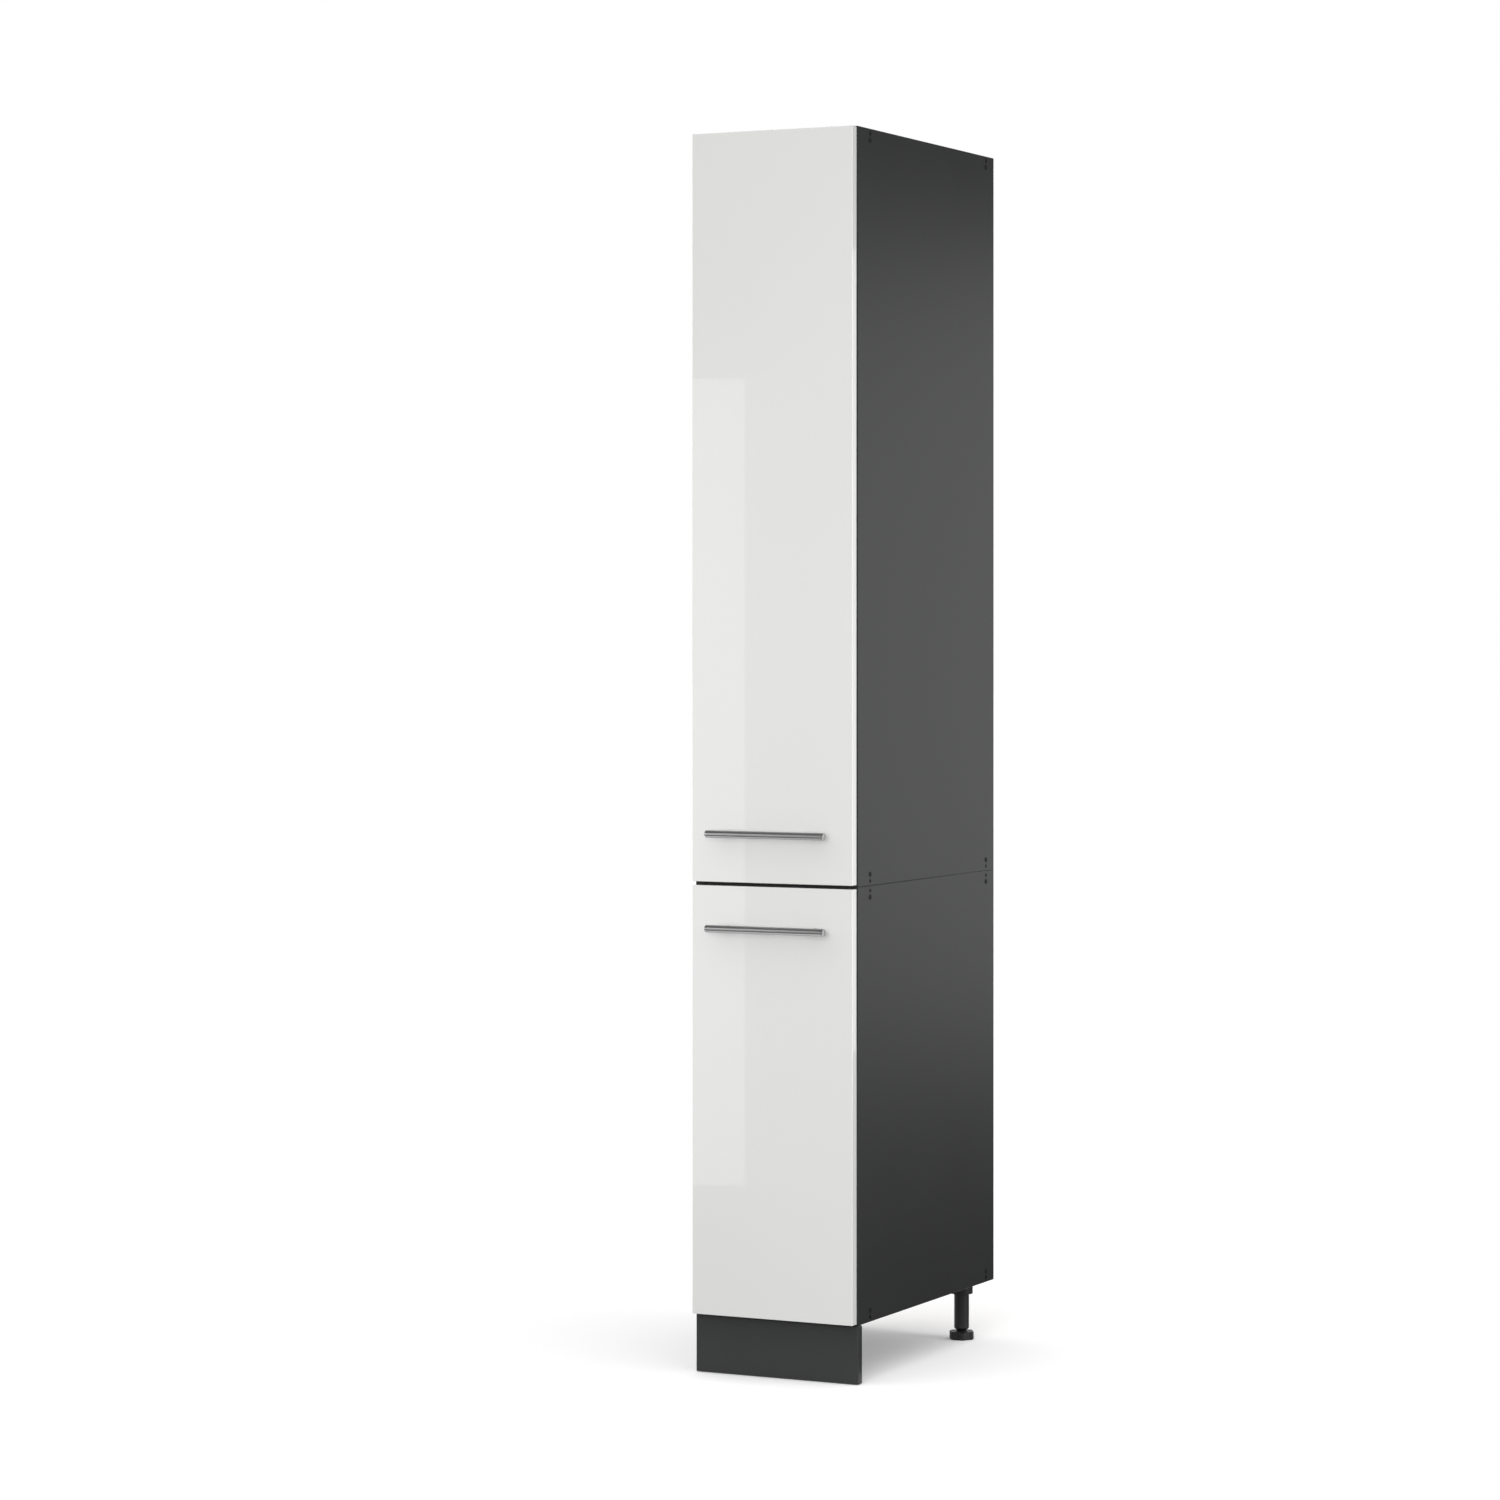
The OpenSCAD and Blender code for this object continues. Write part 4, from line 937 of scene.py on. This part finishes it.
# The screens of the studio: the property with their grey, and their lowest and highest corner in metres
FLAGS = {
    "low_flag": ("side_flag", (0.16, -0.2, 0.01), (4.0, 4.5, 0.02)),
    "high_flag": ("side_flag", (-2.0, 2.7, 2.15), (5.0, 2.71, 5.0)),
    "front_flag": ("surround", (-7.0, -7.01, 0.0), (0.5, -7.0, 3.0)),
    "ceiling_flag": ("surround", (-4.0, -6.0, 3.2), (2.0, 0.5, 3.21)),
    "floor_flag": ("surround", (-4.0, -7.0, 0.01), (0.14, -0.6, 0.02)),
}
FLOOR_REACH = 60  # metres each way
SENSOR_WIDTH = 36  # millimetres
CAMERA_REACH = 200  # metres


class LARDER_OT_stage(bpy.types.Operator):
    """Set up the floor, the even light, the lamps and the camera"""

    bl_idname = "larder.stage"
    bl_label = "Studio"

    def execute(self, context):
        context.scene.view_settings.view_transform = "Standard"
        studio = context.scene.larder_studio
        self.floor(studio)
        self.sky(context.scene, studio)
        self.front_card(studio)
        side_size = (studio.side_wide, studio.side_tall)
        self.lamp("side_softbox", studio.side_place, -X, side_size, studio.side_light)
        key = self.lamp("key_softbox", studio.key_place, Y, (studio.key_side,) * 2, studio.key_light)
        key.visible_glossy = False
        self.flags(studio)
        self.camera(context.scene, studio)
        return {"FINISHED"}

    def seen_directly(self, recipe):
        """1 for rays that should show the background: from the camera, in gloss or through glass"""
        kinds = ("Is Camera Ray", "Is Glossy Ray", "Is Transmission Ray")
        camera, glossy, glass = [recipe.node("LightPath", {}, {}, output=kind) for kind in kinds]
        return camera | glossy | glass

    def floor(self, studio):
        """A pale floor that keeps the shadow and is white in the open"""
        bm = bmesh.new()
        bmesh.ops.create_grid(bm, x_segments=1, y_segments=1, size=FLOOR_REACH)
        floor = piece_from(bm, "floor")
        recipe = Recipe("pale_floor")
        seen = self.seen_directly(recipe)
        floor.data.materials.append(recipe.surface(
            Base_Color=recipe.blend(seen, (studio.floor_tone,) * 3, (studio.floor_white,) * 3),
            Roughness=0.9,
            Specular_IOR_Level=0.0,
            Emission_Color=(1, 1, 1),
            Emission_Strength=seen * studio.floor_lift,
        ))

    def sky(self, scene, studio):
        """White where it is seen; as light it is soft, and stronger from above"""
        world = bpy.data.worlds.new("studio")
        scene.world = world
        world.use_nodes = True
        recipe = WorldRecipe(world)
        seen = self.seen_directly(recipe)
        heading = recipe.node("TexCoord", {}, {}, output="Generated")
        front = (recipe.node("SeparateXYZ", {}, {"Vector": heading}, output="Y") * -1) | 0.0
        rise = recipe.node("SeparateXYZ", {}, {"Vector": heading}, output="Z") | 0.0
        light = studio.low_light + rise * studio.high_light + front * studio.front_light
        recipe.feed(recipe.background.inputs["Color"], (1, 1, 1))
        recipe.feed(recipe.background.inputs["Strength"], recipe.mixed(seen, light, 1.0))

    def lamp(self, name, place, facing, size, radiance):
        """A soft rectangular lamp of that radiance, hidden from the camera"""
        data = bpy.data.lights.new(name, "AREA")
        data.shape = "RECTANGLE"
        data.size, data.size_y = size
        data.energy = radiance * math.pi * size[0] * size[1]
        lamp = bpy.data.objects.new(name, data)
        lamp.location = place
        lamp.rotation_euler = facing.to_track_quat("-Z", "Y").to_euler()
        lamp.visible_camera = False
        bpy.context.scene.collection.objects.link(lamp)
        return lamp

    def front_card(self, studio):
        """An upright card at the front left, mirrored in the doors"""
        facing = Matrix.Rotation(studio.card_turn, 3, Z) @ Y
        wide, tall = studio.card_wide, studio.card_tall
        middle = Vector(studio.card_edge) + Z.cross(facing) * wide / 2 + Z * tall / 2
        card = self.lamp("front_card", middle, facing, (wide, tall), studio.card_light)
        card.visible_diffuse = False

    def flags(self, studio):
        """Screens that only gloss sees: they shape the mirror images in the side and the metal"""
        for name, (grey, low, high) in FLAGS.items():
            flag = piece_from(slab(Vector(low), Vector(high)), name)
            flag.data.materials.append(Recipe(name).surface(
                Base_Color=(0, 0, 0),
                Roughness=1.0,
                Specular_IOR_Level=0.0,
                Emission_Color=(getattr(studio, grey),) * 3,
                Emission_Strength=1.0,
            ))
            flag.visible_camera = False
            flag.visible_diffuse = False
            flag.visible_shadow = False
            flag.visible_transmission = False

    def camera(self, scene, studio):
        """A level camera whose shift frames the unit as in the picture"""
        data = bpy.data.cameras.new("camera")
        camera = bpy.data.objects.new("camera", data)
        scene.collection.objects.link(camera)
        scene.camera = camera
        camera.location = studio.camera_place
        camera.rotation_euler = Euler((QUARTER, 0, studio.camera_turn))
        side = studio.picture_side
        data.sensor_width = SENSOR_WIDTH
        data.lens = studio.focal_pixels / side * data.sensor_width
        data.shift_x = 0.5 - studio.axis_column / side
        data.shift_y = studio.horizon_row / side - 0.5
        data.clip_end = CAMERA_REACH


class WorldRecipe(Recipe):
    """The world's nodes, for shader expressions"""

    def __init__(self, world):
        self.tree = world.node_tree
        self.background = self.tree.nodes["Background"]


class LARDER_PT_panel(bpy.types.Panel):
    """Lists the pieces and their properties"""

    bl_idname = "LARDER_PT_panel"
    bl_label = "Pull-out Larder Unit"
    bl_space_type = "VIEW_3D"
    bl_region_type = "UI"
    bl_category = "Larder"

    def draw(self, context):
        for operator in OPERATORS:
            self.layout.operator(operator.bl_idname)
        for group in GROUPS:
            box = self.layout.box()
            properties = getattr(context.scene, group)
            for name in properties.bl_rna.properties.keys():
                if name not in ("name", "rna_type"):
                    box.prop(properties, name)


OPERATORS = (
    LARDER_OT_stage,
    LARDER_OT_carcass,
    LARDER_OT_doors,
    LARDER_OT_handles,
    LARDER_OT_baskets,
    LARDER_OT_frames,
    LARDER_OT_runners,
    LARDER_OT_feet,
    LARDER_OT_fasteners,
)
GROUPS = {
    "larder_shapes": LARDER_PG_shapes,
    "larder_finishes": LARDER_PG_finishes,
    "larder_studio": LARDER_PG_studio,
}
CLASSES = (*GROUPS.values(), *OPERATORS, LARDER_PT_panel)


def register():
    """Makes the properties, operators and panel known to Blender"""
    for made in CLASSES:
        bpy.utils.register_class(made)
    for name, group in GROUPS.items():
        setattr(bpy.types.Scene, name, bpy.props.PointerProperty(type=group))


def unregister():
    """Takes them away again"""
    for name in GROUPS:
        delattr(bpy.types.Scene, name)
    for made in reversed(CLASSES):
        bpy.utils.unregister_class(made)


def main():
    """Builds everything in order"""
    register()
    for operator in OPERATORS:
        group, name = operator.bl_idname.split(".")
        getattr(getattr(bpy.ops, group), name)()


if __name__ == "__main__":
    main()
